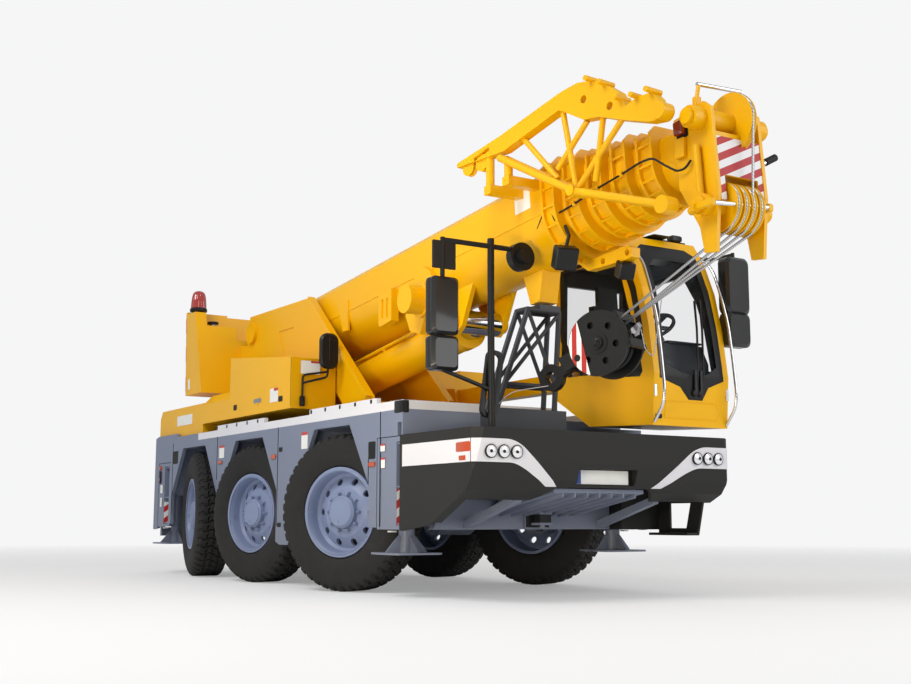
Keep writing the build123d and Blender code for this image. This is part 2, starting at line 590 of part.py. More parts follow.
# ---------------------------------------------------------------- engine and hood
HOOD_REAR = -4507.0
HOOD_TOP = 1915.0
HOOD_HALF = SIDE_Y - PANEL_WALL - 10
HOOD_WALL = 20.0
with BuildPart() as engine_hood:
    slab(((HOOD_REAR, DECK_TOP), (HOOD_REAR, HOOD_TOP - 90), (HOOD_REAR + 70, HOOD_TOP),
          (HOOD_FRONT, HOOD_TOP), (HOOD_FRONT, DECK_TOP)), -HOOD_HALF, HOOD_HALF)
    slab(((HOOD_REAR + HOOD_WALL, DECK_TOP), (HOOD_REAR + HOOD_WALL, HOOD_TOP - 95),
          (HOOD_REAR + 70 + 8, HOOD_TOP - HOOD_WALL), (HOOD_FRONT - HOOD_WALL, HOOD_TOP - HOOD_WALL),
          (HOOD_FRONT - HOOD_WALL, DECK_TOP)),
         HOOD_WALL - HOOD_HALF, HOOD_HALF - HOOD_WALL, mode=Mode.SUBTRACT)
save(engine_hood, "engine_hood")

with BuildPart() as engine_block:
    block(max(DECK_HOLE[0] + 20, HOOD_REAR + 60), DECK_HOLE[1] - 20, -DECK_HOLE[2] + 10, DECK_HOLE[2] - 10,
          FRAME_TOP, HOOD_TOP - HOOD_WALL - 40)
save(engine_block, "engine_block")

# ---------------------------------------------------------------- boom geometry
BOOM_WAY = Vector(cos(radians(BOOM_ANGLE)), 0, sin(radians(BOOM_ANGLE)))
BOOM_UP = Vector(-sin(radians(BOOM_ANGLE)), 0, cos(radians(BOOM_ANGLE)))
PIVOT = Vector(PIVOT_X, BOOM_Y, PIVOT_Z)


def boom_plane(along):
    """Plane across the boom: local x is the machine's +Y, local y is up from the boom."""
    return Plane(origin=PIVOT + BOOM_WAY * along, x_dir=(0, 1, 0), z_dir=BOOM_WAY)


def boom_point(along, up, y=0.0):
    """Point in the boom's own measures: along it, up from the pivot, y from its centre plane."""
    place = PIVOT + BOOM_WAY * along + BOOM_UP * up + Vector(0, y, 0)
    return (place.X, place.Y, place.Z)


def section_face(along, inset):
    """Boom section: flat top and upright sides over a half-round belly, inset all round."""
    half = SECTION_HALF - inset
    top = SECTION_TOP - inset
    corner = 0.18 * half
    with BuildSketch(boom_plane(along)) as face:
        with BuildLine():
            Polyline((half, LIP_V), (half, top - corner), (half - corner, top),
                     (corner - half, top), (-half, top - corner), (-half, LIP_V))
            ThreePointArc((-half, LIP_V), (0, LIP_V - half), (half, LIP_V))
        make_face()
    return face.sketch


def tube(low, high, outer_inset, inner_inset):
    """Length of boom section between two stations."""
    extrude(section_face(low, outer_inset), amount=high - low)
    extrude(section_face(low, inner_inset), amount=high - low, mode=Mode.SUBTRACT)


def collar(index):
    """Collar at a section's mouth: two rings, a lower band between them and radial ribs."""
    inset = index * SECTION_STEP
    half = SECTION_HALF - inset
    end = mouth(index)
    start = end - COLLAR_LENGTH
    extrude(section_face(start, inset - BAND_RISE), amount=COLLAR_LENGTH)
    for ring_start in (start, end - RING_LENGTH):
        extrude(section_face(ring_start, inset - COLLAR_RISE), amount=RING_LENGTH)
    with BuildSketch(boom_plane(start + RING_LENGTH / 2)) as ribs:
        with Locations((0, LIP_V)):
            with PolarLocations(half + COLLAR_RISE / 2 - 5, BELLY_RIBS, start_angle=180,
                                angular_range=180, endpoint=True):
                Rectangle(COLLAR_RISE, COLLAR_RIB)
        for rib_y in (-half - COLLAR_RISE / 2 + 5, half + COLLAR_RISE / 2 - 5):
            with Locations((rib_y, LIP_V / 2)):
                Rectangle(COLLAR_RISE, COLLAR_RIB)
    extrude(ribs.sketch, amount=COLLAR_LENGTH - RING_LENGTH)
    extrude(section_face(start, inset + SECTION_STEP - PIN_GAP), amount=COLLAR_LENGTH,
            mode=Mode.SUBTRACT)


def boom_slab(points, y_low, y_high, mode=Mode.ADD):
    """Plate along the boom cut to an (along, up) outline, y measured from its centre plane."""
    plane = Plane(origin=PIVOT + Vector(0, y_high, 0), x_dir=BOOM_WAY, z_dir=(0, -1, 0))
    with BuildSketch(plane) as face:
        with BuildLine():
            Polyline(*points, close=True)
        make_face()
    return extrude(face.sketch, amount=y_high - y_low, mode=mode)


def mouth(index):
    """Station of the mouth of section 0 (base) to 4."""
    return BASE_MOUTH + index * MOUTH_STEP


BELLY_RIBS = 9
COLLAR_RIB = 16.0
BELLY_V = LIP_V - SECTION_HALF
ROD_ALONG = (ROD_PIN[0] - PIVOT_X) * BOOM_WAY.X + (ROD_PIN[1] - PIVOT_Z) * BOOM_WAY.Z
ROD_UP = (ROD_PIN[0] - PIVOT_X) * BOOM_UP.X + (ROD_PIN[1] - PIVOT_Z) * BOOM_UP.Z
LUG_INNER = BARREL_RADIUS + GLAND_RISE + SLIDE_GAP
LUG_OUTER = LUG_INNER + 45.0
LUG_HALF = 40.0
REST_TOP = 2330.0

SEAM_RISE = 5.0
HUB_PLACE = (899.0, 2529.0)
HUB_FACE_Y = -860.0
HUB_SIZE = 125.0
MOUTH_LUGS = ((100.0, -105.0), (385.0, -115.0))   # pin holes in the plate under the mouth
with BuildPart() as boom_base:
    extrude(section_face(BASE_TAIL, 0), amount=BASE_MOUTH - BASE_TAIL)
    cheek_reach = CHEEK_SPACE - PIN_GAP
    for side_name, side in SIDES:
        y_low, y_high = sorted((side * (SECTION_HALF - SECTION_WALL), side * cheek_reach))
        cross_bar(PIVOT_X, PIVOT_Z - PIVOT_DROP, BOOM_Y + y_low, BOOM_Y + y_high, 95)
        y_low, y_high = sorted((side * LUG_INNER, side * LUG_OUTER))
        boom_slab(((ROD_ALONG - 330, LIP_V - 200), (ROD_ALONG - 90, ROD_UP - 60),
                   (ROD_ALONG, ROD_UP - 110), (ROD_ALONG + 90, ROD_UP - 60),
                   (ROD_ALONG + 330, LIP_V - 200)), y_low, y_high)
        bar(boom_point(ROD_ALONG, ROD_UP, y_low - (40 if side < 0 else 0)),
            boom_point(ROD_ALONG, ROD_UP, y_high + (40 if side > 0 else 0)), 70)
        y_low, y_high = sorted((side * (SECTION_HALF - SECTION_WALL), side * (SECTION_HALF + SEAM_RISE)))
        boom_slab(((BASE_TAIL + 700, LIP_V - 10), (BASE_MOUTH - COLLAR_LENGTH, LIP_V - 10),
                   (BASE_MOUTH - COLLAR_LENGTH, LIP_V + 10), (BASE_TAIL + 700, LIP_V + 10)), y_low, y_high)
    rest_along = (REST_X - PIVOT_X) * BOOM_WAY.X + (REST_TOP - PIVOT_Z) * BOOM_WAY.Z
    rest_up = (REST_X - PIVOT_X) * BOOM_UP.X + (REST_TOP - PIVOT_Z) * BOOM_UP.Z
    boom_slab(((rest_along - 60, rest_up + 25), (rest_along + 60, rest_up + 25),
               (rest_along + 150, BELLY_V + 60), (rest_along - 150, BELLY_V + 60)), -90, 90)
    plate_face = BOOM_Y - SECTION_HALF
    slab(((825, 2858), (960, 2800), (1019, 2702), (1000, 2600), (801, 2247), (620, 2300), (542, 2444),
          (700, 2780)), plate_face - 50, plate_face + SECTION_WALL)
    cross_bar(HUB_PLACE[0], HUB_PLACE[1], HUB_FACE_Y, plate_face - 45, HUB_SIZE)
    cross_bar(HUB_PLACE[0], HUB_PLACE[1], plate_face - 110, plate_face - 45, HUB_SIZE + 25)
    slab(((60, 2440), (90, 2405), (307, 2440), (307, 2740), (60, 2715)), plate_face - 70,
         plate_face + SECTION_WALL)
    for slot_x in (120.0, 210.0):
        block(slot_x, slot_x + 40, plate_face - 75, plate_face - 55, 2480, 2660, mode=Mode.SUBTRACT)
    slab(((-800, 2480), (-683, 2480), (-683, 2785), (-913, 2785)), plate_face - 12,
         plate_face + SECTION_WALL)
    boom_slab(((BASE_MOUTH - 260, BELLY_V + 5), (BASE_MOUTH - 90, BELLY_V - 130),
               (BASE_MOUTH + 340, BELLY_V - 165), (BASE_MOUTH + 430, BELLY_V - 160),
               (BASE_MOUTH + 440, BELLY_V - 90), (BASE_MOUTH + 380, BELLY_V - 60),
               (BASE_MOUTH - 10, BELLY_V - COLLAR_RISE - 5), (BASE_MOUTH - 10, BELLY_V + 5)),
              -LUG_HALF, LUG_HALF)
    for lug_along, lug_up in MOUTH_LUGS:
        bar(boom_point(BASE_MOUTH + lug_along, BELLY_V + lug_up, -LUG_HALF),
            boom_point(BASE_MOUTH + lug_along, BELLY_V + lug_up, LUG_HALF), 25, mode=Mode.SUBTRACT)
    extrude(section_face(BASE_TAIL, SECTION_WALL), amount=BASE_MOUTH - BASE_TAIL,
            mode=Mode.SUBTRACT)
    collar(0)
save(boom_base, "boom_base")

for index in range(1, SECTIONS):
    outer = index * SECTION_STEP
    with BuildPart() as boom_section:
        tube(150 + 60 * index, mouth(index), outer, outer + SECTION_WALL)
        collar(index)
    save(boom_section, f"boom_section_{index}")

# ---------------------------------------------------------------- boom head
HEAD_PLATE_Y = 200.0
HEAD_PLATE_WALL = 28.0
HEAD_START = mouth(SECTIONS)
HEAD_END = HEAD_START + HEAD_LENGTH
TOP_SHEAVE = (HEAD_END - 110, -140.0, 225.0)
LOW_SHEAVE = (HEAD_END - 110, -750.0, 172.0)
TOP_SHEAVES = (55.0,)
LOW_SHEAVES = (-105.0, -35.0, 35.0, 105.0)
SHEAVE_HALF = 24.0
GROOVE_DEPTH = 9.0
HEAD_INSET = SECTIONS * SECTION_STEP
SIGN_BACK = HEAD_END - 26
SIGN_FACE = HEAD_END - 8


def grooved_sheave(centre, across, radius, bore=0.0):
    """Rope sheave with a V groove, turned about an axis along a direction."""
    plane = Plane(origin=centre, x_dir=across, z_dir=Vector(*across).cross(Vector(0, 0, 1)))
    with BuildSketch(plane) as face:
        with BuildLine():
            Polyline((-SHEAVE_HALF, bore), (-SHEAVE_HALF, radius), (-SHEAVE_HALF + 7, radius),
                     (-5, radius - GROOVE_DEPTH), (5, radius - GROOVE_DEPTH),
                     (SHEAVE_HALF - 7, radius), (SHEAVE_HALF, radius), (SHEAVE_HALF, bore), close=True)
        make_face()
    revolve(face.sketch, axis=Axis(plane.origin, plane.x_dir))


with BuildPart() as boom_head:
    tube(150 + 60 * SECTIONS, HEAD_START, HEAD_INSET, HEAD_INSET + SECTION_WALL)
    for side_name, side in SIDES:
        y_low, y_high = sorted((side * HEAD_PLATE_Y, side * (HEAD_PLATE_Y + HEAD_PLATE_WALL)))
        boom_slab(((HEAD_START - 60, -60), (HEAD_END - 170, -50), (HEAD_END - 150, -30),
                   (HEAD_END - 60, -30), (HEAD_END, -90),
                   (HEAD_END, -680), (HEAD_END - 40, -900), (HEAD_END - 70, -1080),
                   (HEAD_END - 180, -1060), (HEAD_END - 200, -880), (HEAD_START - 60, -560)),
                  y_low, y_high)
    boom_slab(((HEAD_START, -390), (SIGN_BACK, -390), (SIGN_BACK, -540), (HEAD_START, -540)),
              -HEAD_PLATE_Y, HEAD_PLATE_Y)
    boom_slab(((SIGN_BACK, -285), (SIGN_FACE, -285), (SIGN_FACE, -737), (SIGN_BACK, -737)),
              -HEAD_PLATE_Y, HEAD_PLATE_Y)
    boom_slab(((SIGN_BACK - 5, -560), (SIGN_FACE + 5, -560), (SIGN_FACE + 5, -740),
               (SIGN_BACK - 5, -740)), -150, 150, mode=Mode.SUBTRACT)
    boom_slab(((SIGN_BACK - 160, -255), (SIGN_FACE, -255), (SIGN_FACE, -300), (SIGN_BACK - 160, -300)),
              -HEAD_PLATE_Y, 20)
    for along, up, radius, reach in ((TOP_SHEAVE[0], TOP_SHEAVE[1], 55, 360),
                                     (LOW_SHEAVE[0], LOW_SHEAVE[1], 50, 320)):
        bar(boom_point(along, up, -reach), boom_point(along, up, reach), radius)
        bar(boom_point(along, up, -reach + 30), boom_point(along, up, reach - 30), radius + 22)
    for y in TOP_SHEAVES:
        grooved_sheave(boom_point(TOP_SHEAVE[0], TOP_SHEAVE[1], y), (0, 1, 0), TOP_SHEAVE[2])
    for y in LOW_SHEAVES:
        grooved_sheave(boom_point(LOW_SHEAVE[0], LOW_SHEAVE[1], y), (0, 1, 0), LOW_SHEAVE[2])
save(boom_head, "boom_head")

# ---------------------------------------------------------------- hook block
HOOK_CENTRE = (2918.0, BOOM_Y, 1925.0)
HOOK_YAW = 23.0
HOOK_TILT = 25.0
HOOK_RADIUS = 250.0
HOOK_HALF = 135.0
HOOK_WALL = 20.0
HOOK_SHEAVE = 190.0
HOOK_SHEAVES = (-66.0, 0.0, 66.0)
RING_REACH = 520.0
ROPE_RADIUS = 9.0
SHEAVE_CENTRE = boom_point(LOW_SHEAVE[0], LOW_SHEAVE[1])
HOOK_LEVEL = Vector(cos(radians(HOOK_YAW)), sin(radians(HOOK_YAW)), 0)
HOOK_SIDE = Vector(sin(radians(HOOK_YAW)), -cos(radians(HOOK_YAW)), 0)
HOOK_WAY = HOOK_LEVEL * cos(radians(HOOK_TILT)) + Vector(0, 0, sin(radians(HOOK_TILT)))


def hook_plane(offset):
    """Plane of the hook block's plates: local x towards the boom's head, local y up."""
    return Plane(origin=Vector(*HOOK_CENTRE) + HOOK_SIDE * offset, x_dir=HOOK_WAY, z_dir=HOOK_SIDE)


def hook_point(along, up, offset):
    """Point in the hook block's own measures."""
    place = hook_plane(offset).from_local_coords(Vector(along, up, 0))
    return (place.X, place.Y, place.Z)


def rope_tangent(x, z):
    """Point where a rope from (x, z) touches the front of the lower sheaves."""
    dx = x - SHEAVE_CENTRE[0]
    dz = z - SHEAVE_CENTRE[2]
    reach = sqrt(dx * dx + dz * dz)
    round_radius = LOW_SHEAVE[2] - GROOVE_DEPTH + ROPE_RADIUS + PIN_GAP
    lean = atan2(dz, dx) + atan2(sqrt(reach ** 2 - round_radius ** 2), round_radius)
    return (SHEAVE_CENTRE[0] + round_radius * cos(lean), SHEAVE_CENTRE[2] + round_radius * sin(lean))


with BuildPart() as hook_block:
    for plate in (-HOOK_HALF, HOOK_HALF - HOOK_WALL):
        with BuildSketch(hook_plane(plate)) as cheek:
            Circle(HOOK_RADIUS)
            with Locations((120, 0)):
                Rectangle(220, 300)
            with Locations((-230, 0)):
                Rectangle(240, 120)
            with PolarLocations(150, 6, start_angle=30):
                Circle(26, mode=Mode.SUBTRACT)
        extrude(cheek.sketch, amount=HOOK_WALL)
    for offset in HOOK_SHEAVES:
        grooved_sheave(hook_point(0, 0, offset), tuple(HOOK_SIDE), HOOK_SHEAVE)
    bar(hook_point(0, 0, -HOOK_HALF - 30), hook_point(0, 0, HOOK_HALF + 30), 48)
    bar(hook_point(0, 0, -HOOK_HALF - 8), hook_point(0, 0, HOOK_HALF + 8), 80)
    with BuildSketch(hook_plane(-HOOK_HALF + 5)) as bridge:
        with Locations((222, 110), (222, -110), (-330, 0)):
            Rectangle(30, 70)
    extrude(bridge.sketch, amount=2 * HOOK_HALF - 10)
    with BuildSketch(hook_plane(-30)) as hook:
        with Locations((-RING_REACH, 0)):
            Circle(105)
            Circle(45, mode=Mode.SUBTRACT)
        with Locations((-RING_REACH + 150, 0)):
            Rectangle(110, 80)
    extrude(hook.sketch, amount=60)
    for offset, y in ((-66.0, LOW_SHEAVES[3]), (0.0, LOW_SHEAVES[2]), (0.0, LOW_SHEAVES[1]),
                      (66.0, LOW_SHEAVES[0])):
        start = hook_point(150, 90 if offset else 60, offset)
        end = rope_tangent(start[0], start[2])
        bar(start, (end[0], BOOM_Y + y, end[1]), ROPE_RADIUS)
save(hook_block, "hook_block")

# ---------------------------------------------------------------- folding jib
JIB_FORK = (4280.0, -670.0, 0.0)
JIB_YAW = radians(6.0)
JIB_WAY = Vector(cos(JIB_YAW), sin(JIB_YAW), 0)
JIB_SIDE = Vector(sin(JIB_YAW), -cos(JIB_YAW), 0)
JIB_HALF = 42.0
TUBE_RADIUS = 30.0
BRACE_RADIUS = 22.0
PEG_RADIUS = 20.0
JIB_TAIL = (-2300.0, 3440.0)
JIB_ELBOW = (-1025.0, 2960.0)
TOP_FORK = (-175.0, 3330.0)
LOW_FORK = (-160.0, 2680.0)
# upper chord and fork plate, along the jib from its fork and up from the ground
CHORD = (
    (-2371, 3440), (-2371, 3475), (-1841, 3571), (-1142, 3731), (-963, 3752), (-822, 3727),
    (-690, 3665), (-565, 3575), (-487, 3447), (-386, 3480), (-245, 3480), (-195, 3426),
    (-160, 3335), (-190, 3270), (-277, 3278), (-560, 3370), (-744, 3440), (-905, 3459),
    (-1160, 3600), (-1790, 3440),
)
PEGS = ((-822.0, 3735.0), (-690.0, 3672.0), (-536.0, 3515.0), (-386.0, 3490.0), (-245.0, 3490.0))
BRACES = (
    ((-905.0, 3459.0), (-1221.0, 3173.0)), ((-744.0, 3450.0), (-829.0, 2990.0)),
    ((-1160.0, 3600.0), (-1025.0, 2975.0)), ((-1221.0, 3100.0), (-1600.0, 3500.0)),
    ((-560.0, 3380.0), (-1000.0, 2990.0)),
)

BRACKETS = ((-2000.0, 3180.0, 3450.0), (-1780.0, 3205.0, 3380.0))


def jib_plane(offset):
    """Upright plane along the jib: local x towards its fork, local y up."""
    return Plane(origin=Vector(*JIB_FORK) + JIB_SIDE * offset, x_dir=JIB_WAY, z_dir=JIB_SIDE)


def jib_point(place, offset):
    """Point of the jib from an (along, up) place."""
    point = Vector(*JIB_FORK) + JIB_WAY * place[0] + JIB_SIDE * offset + Vector(0, 0, place[1])
    return (point.X, point.Y, point.Z)


with BuildPart() as folding_jib:
    with BuildSketch(jib_plane(-JIB_HALF)) as chord:
        with BuildLine():
            Polyline(*CHORD, close=True)
        make_face()
        with Locations((-2060, 3478)):
            Rectangle(200, 30, rotation=14, mode=Mode.SUBTRACT)
        with Locations((-640, 3490), (-900, 3610)):
            Circle(30, mode=Mode.SUBTRACT)
    extrude(chord.sketch, amount=2 * JIB_HALF)
    for peg in PEGS:
        bar(jib_point(peg, -JIB_HALF - 8), jib_point(peg, JIB_HALF + 60), PEG_RADIUS)
    for offset in (-TUBE_RADIUS - 4, TUBE_RADIUS + 4):
        bar(jib_point((-1843, 3400), offset), jib_point(JIB_ELBOW, offset), TUBE_RADIUS)
        bar(jib_point(JIB_ELBOW, offset), jib_point(LOW_FORK, offset), TUBE_RADIUS)
    for low, high in BRACES:
        bar(jib_point(low, 0), jib_point(high, 0), BRACE_RADIUS)
    for fork in (TOP_FORK, LOW_FORK):
        bar(jib_point(fork, -JIB_HALF), jib_point(fork, JIB_HALF + 25), 62)
    bar(jib_point(JIB_ELBOW, -75), jib_point(JIB_ELBOW, 75), 40)
    for sheave_place in ((-2250.0, 3420.0), (-2080.0, 3420.0)):
        grooved_sheave(jib_point(sheave_place, 0), tuple(JIB_SIDE), 70)
    for along, low, high in BRACKETS:
        bar(jib_point((along, low), 0), jib_point((along, high), 0), 34)
        x, y, z = jib_point((along, low), 0)
        block(x - 45, x + 45, y - 30, BOOM_Y - SECTION_HALF - PIN_GAP, z - 35, z + 35)
save(folding_jib, "folding_jib")

# ---------------------------------------------------------------- luffing cylinder
CYL_DX = ROD_PIN[0] - FOOT_PIN[0]
CYL_DZ = ROD_PIN[1] - FOOT_PIN[1]
CYL_LENGTH = sqrt(CYL_DX ** 2 + CYL_DZ ** 2)
CYL_WAY = Vector(CYL_DX / CYL_LENGTH, 0, CYL_DZ / CYL_LENGTH)
EYE_HALF = LUG_INNER - PIN_GAP


def cylinder_point(along):
    """Point on the luffing cylinder's axis, measured from its foot pin."""
    return (FOOT_PIN[0] + CYL_WAY.X * along, BOOM_Y, FOOT_PIN[1] + CYL_WAY.Z * along)


BARREL_END = CYL_LENGTH - 160
PIPE_OFFSET = BARREL_RADIUS + 30.0
PIPE_RADIUS = 17.0
PIPE_UP = Vector(-CYL_WAY.Z, 0, CYL_WAY.X) * 0.72 + Vector(0, -0.69, 0)


def pipe_point(along):
    """Point on the oil pipe beside the barrel."""
    place = Vector(*cylinder_point(along)) + PIPE_UP * PIPE_OFFSET
    return (place.X, place.Y, place.Z)


with BuildPart() as cylinder_barrel:
    bar(cylinder_point(110), cylinder_point(BARREL_END), BARREL_RADIUS)
    for band in (420.0, BARREL_END - 120):
        bar(cylinder_point(band), cylinder_point(band + 120), BARREL_RADIUS + GLAND_RISE)
    bar(pipe_point(380), pipe_point(BARREL_END - 20), PIPE_RADIUS)
    for clip in (480.0, 1200.0, BARREL_END - 60):
        bar(cylinder_point(clip), pipe_point(clip), 22)
    bar(cylinder_point(170), cylinder_point(BARREL_END), ROD_RADIUS + PIN_GAP, mode=Mode.SUBTRACT)
    cross_bar(FOOT_PIN[0], FOOT_PIN[1], BOOM_Y - EYE_HALF, BOOM_Y + EYE_HALF, 130)
    cross_bar(FOOT_PIN[0], FOOT_PIN[1], BOOM_Y - EYE_HALF, BOOM_Y + EYE_HALF, 60 + PIN_GAP,
              mode=Mode.SUBTRACT)
save(cylinder_barrel, "cylinder_barrel")

with BuildPart() as cylinder_rod:
    bar(cylinder_point(190), cylinder_point(CYL_LENGTH - 60), ROD_RADIUS)
    cross_bar(ROD_PIN[0], ROD_PIN[1], BOOM_Y - EYE_HALF, BOOM_Y + EYE_HALF, 105)
save(cylinder_rod, "cylinder_rod")

# ---------------------------------------------------------------- superstructure
PLATFORM_REAR = -2850.0
CABINET_Y = (-1200.0, -700.0)
CHEEK_REAR = -3060.0
CHEEK_OUTLINE = (
    (-2900.0, PLATFORM_TOP - 10), (-2900.0, 1950.0), (CHEEK_REAR, 2010.0), (CHEEK_REAR, 2700.0),
    (-3000.0, 2930.0), (-1355.0, 2914.0), (-12.0, 1765.0), (-12.0, PLATFORM_TOP - 10),
    (-632.0, PLATFORM_TOP - 10), (-632.0, 1750.0), (-1180.0, 2230.0), (-2150.0, 2230.0),
    (-2150.0, PLATFORM_TOP - 10),
)
CHEEK_RECESS = ((-2182.0, 2655.0), (-1800.0, 2655.0), (-1629.0, 2390.0), (-2050.0, 2390.0))
RECESS_DEPTH = 10.0
CHEEK_FLANGE = ((-1355.0, 2914.0), (-12.0, 1765.0), (-80.0, 1765.0), (-1385.0, 2880.0))
WINCH = (-2430.0, 1885.0)
WINCH_RADIUS = 150.0
with BuildPart() as turntable:
    with BuildSketch(Plane.XY.offset(RING_BOTTOM + PIN_GAP)) as ring:
        with Locations((SLEW_X, 0)):
            Circle(RING_RADIUS)
    extrude(ring.sketch, amount=PLATFORM_BOTTOM - RING_BOTTOM - PIN_GAP)
    block(PLATFORM_REAR, 150, CABINET_Y[1], 760, PLATFORM_BOTTOM, PLATFORM_TOP)
    for side_name, side in SIDES:
        inner = BOOM_Y + side * CHEEK_SPACE
        outer = inner + side * CHEEK_WALL
        slab(CHEEK_OUTLINE, min(inner, outer), max(inner, outer))
        slab(CHEEK_FLANGE, min(inner, outer + side * 45), max(inner, outer + side * 45))
        slab(CHEEK_RECESS, min(outer, outer - side * RECESS_DEPTH),
             max(outer, outer - side * RECESS_DEPTH), mode=Mode.SUBTRACT)
        cross_bar(PIVOT_X, PIVOT_Z - PIVOT_DROP, min(inner, outer + side * 40),
                  max(inner, outer + side * 40), 120)
        lug_inner = BOOM_Y + side * LUG_INNER
        lug_outer = lug_inner + side * 45
        slab(((FOOT_PIN[0] - 200, PLATFORM_TOP - 10), (FOOT_PIN[0] - 110, FOOT_PIN[1] + 60),
              (FOOT_PIN[0], FOOT_PIN[1] + 120), (FOOT_PIN[0] + 110, FOOT_PIN[1] + 60),
              (FOOT_PIN[0] + 200, PLATFORM_TOP - 10)),
             min(lug_inner, lug_outer), max(lug_inner, lug_outer))
        stand = sorted((BOOM_Y + side * 265, BOOM_Y + side * 290))
        slab(((WINCH[0] - 190, PLATFORM_TOP - 5), (WINCH[0] - 90, WINCH[1] + 70),
              (WINCH[0] + 90, WINCH[1] + 70), (WINCH[0] + 190, PLATFORM_TOP - 5)), stand[0], stand[1])
        flange = sorted((BOOM_Y + side * 225, BOOM_Y + side * 245))
        cross_bar(WINCH[0], WINCH[1], flange[0], flange[1], WINCH_RADIUS + 25)
    cross_bar(WINCH[0], WINCH[1], BOOM_Y - 235, BOOM_Y + 235, WINCH_RADIUS)
    cross_bar(WINCH[0], WINCH[1], BOOM_Y - 310, BOOM_Y + 310, 45)
    cross_bar(FOOT_PIN[0], FOOT_PIN[1], BOOM_Y - LUG_INNER - 60, BOOM_Y + LUG_INNER + 60, 60)
save(turntable, "turntable")

CW_HALF = 1195.0
CW_BOTTOM = 2045.0
CW_TOP = 3008.0
CW_REAR = -3703.0
CW_FRONT = -3135.0       # front face at the bottom
CW_LEAN = 0.286          # the front face leans back
CW_WALL = 60.0
CW_STEPS = ((1063.0, 2852.0), (709.0, 2696.0))   # half width, top inside it
with BuildPart() as counterweight:
    slab(((CW_REAR + 58, CW_BOTTOM), (CW_REAR, CW_TOP),
          (CW_FRONT - CW_LEAN * (CW_TOP - CW_BOTTOM), CW_TOP), (CW_FRONT, CW_BOTTOM)),
         -CW_HALF, CW_HALF)
    for step_half, step_top in CW_STEPS:
        block(CW_REAR + CW_WALL, CW_FRONT, -step_half, step_half, step_top, CW_TOP + 5,
              mode=Mode.SUBTRACT)
    for side_name, side in SIDES:
        y_low, y_high = sorted((side * CW_STEPS[1][0], side * CW_HALF))
        block(CW_REAR, CW_REAR + CW_WALL, y_low, y_high, CW_TOP - 5, CW_TOP + 24)
        inner = BOOM_Y + side * CHEEK_SPACE
        outer = inner + side * CHEEK_WALL
        slab(((CW_FRONT - 170, 2200), (CW_FRONT - 230, 2650), (CHEEK_REAR, 2600), (CHEEK_REAR, 2250)),
             min(inner, outer), max(inner, outer))
save(counterweight, "counterweight")

CABINET_BOTTOM = 1680.0
CABINET_REAR = -2249.0
CABINET_FRONT = -689.0
with BuildPart() as right_cabinet:
    floor_slab(((CABINET_REAR, CABINET_Y[0]), (CABINET_FRONT, CABINET_Y[0]),
                (CABINET_FRONT - 50, CABINET_Y[1]), (CABINET_REAR, CABINET_Y[1])), CABINET_BOTTOM, 2332)
    slab(((CABINET_REAR - 10, 2333), (CABINET_FRONT + 10, 2172), (CABINET_FRONT + 10, 2350),
          (CABINET_REAR - 10, 2350)), CABINET_Y[0] - 5, CABINET_Y[1] + 5, mode=Mode.SUBTRACT)
    cross_slab(((CABINET_Y[0], CABINET_BOTTOM), (CABINET_Y[0], 1890), (CABINET_Y[0] + 110, 1999),
                (CABINET_Y[1], 1999), (CABINET_Y[1], CABINET_BOTTOM)), HOOD_FRONT + 12, CABINET_REAR)
save(right_cabinet, "right_cabinet")

# ---------------------------------------------------------------- cab and its lifting arm
ARM_PIVOT = (-560.0, 1850.0)
ARM_HEAD = (1300.0, 1850.0)
ARM_Y = (560.0, 700.0)
ARM_PIN = 40.0
ARM_HALF = 80.0
BRACKET = 40.0
HOUSING_REAR = -2680.0
HOUSING_FRONT = -760.0
HOUSING_TOP = 2170.0
with BuildPart() as left_housing:
    slab(((HOUSING_REAR, CABINET_BOTTOM), (HOUSING_REAR, HOUSING_TOP - 60),
          (HOUSING_REAR + 60, HOUSING_TOP), (HOUSING_FRONT, HOUSING_TOP),
          (HOUSING_FRONT, CABINET_BOTTOM)), 760, 1190)
    block(HOUSING_REAR, HOUSING_FRONT, BOOM_Y + CHEEK_SPACE + CHEEK_WALL + 46, 760, PLATFORM_TOP,
          HOUSING_TOP - 20)
    for y_low, y_high in ((ARM_Y[0] - BRACKET, ARM_Y[0] - PIN_GAP),
                          (ARM_Y[1] + PIN_GAP, ARM_Y[1] + BRACKET)):
        slab(((HOUSING_FRONT - 5, PLATFORM_TOP), (HOUSING_FRONT - 5, ARM_PIVOT[1] + 120),
              (ARM_PIVOT[0] + 90, ARM_PIVOT[1] + 90), (ARM_PIVOT[0] + 130, PLATFORM_TOP)),
             y_low, y_high)
    cross_bar(ARM_PIVOT[0], ARM_PIVOT[1], ARM_Y[0] - BRACKET - 15, ARM_Y[1] + BRACKET + 15, ARM_PIN)
save(left_housing, "left_housing")

with BuildPart() as cab_arm:
    block(ARM_PIVOT[0], ARM_HEAD[0], ARM_Y[0], ARM_Y[1], ARM_PIVOT[1] - ARM_HALF,
          ARM_PIVOT[1] + ARM_HALF)
    for end in (ARM_PIVOT, ARM_HEAD):
        cross_bar(end[0], end[1], ARM_Y[0], ARM_Y[1], ARM_HALF)
        cross_bar(end[0], end[1], ARM_Y[0], ARM_Y[1], ARM_PIN + PIN_GAP, mode=Mode.SUBTRACT)
save(cab_arm, "cab_arm")

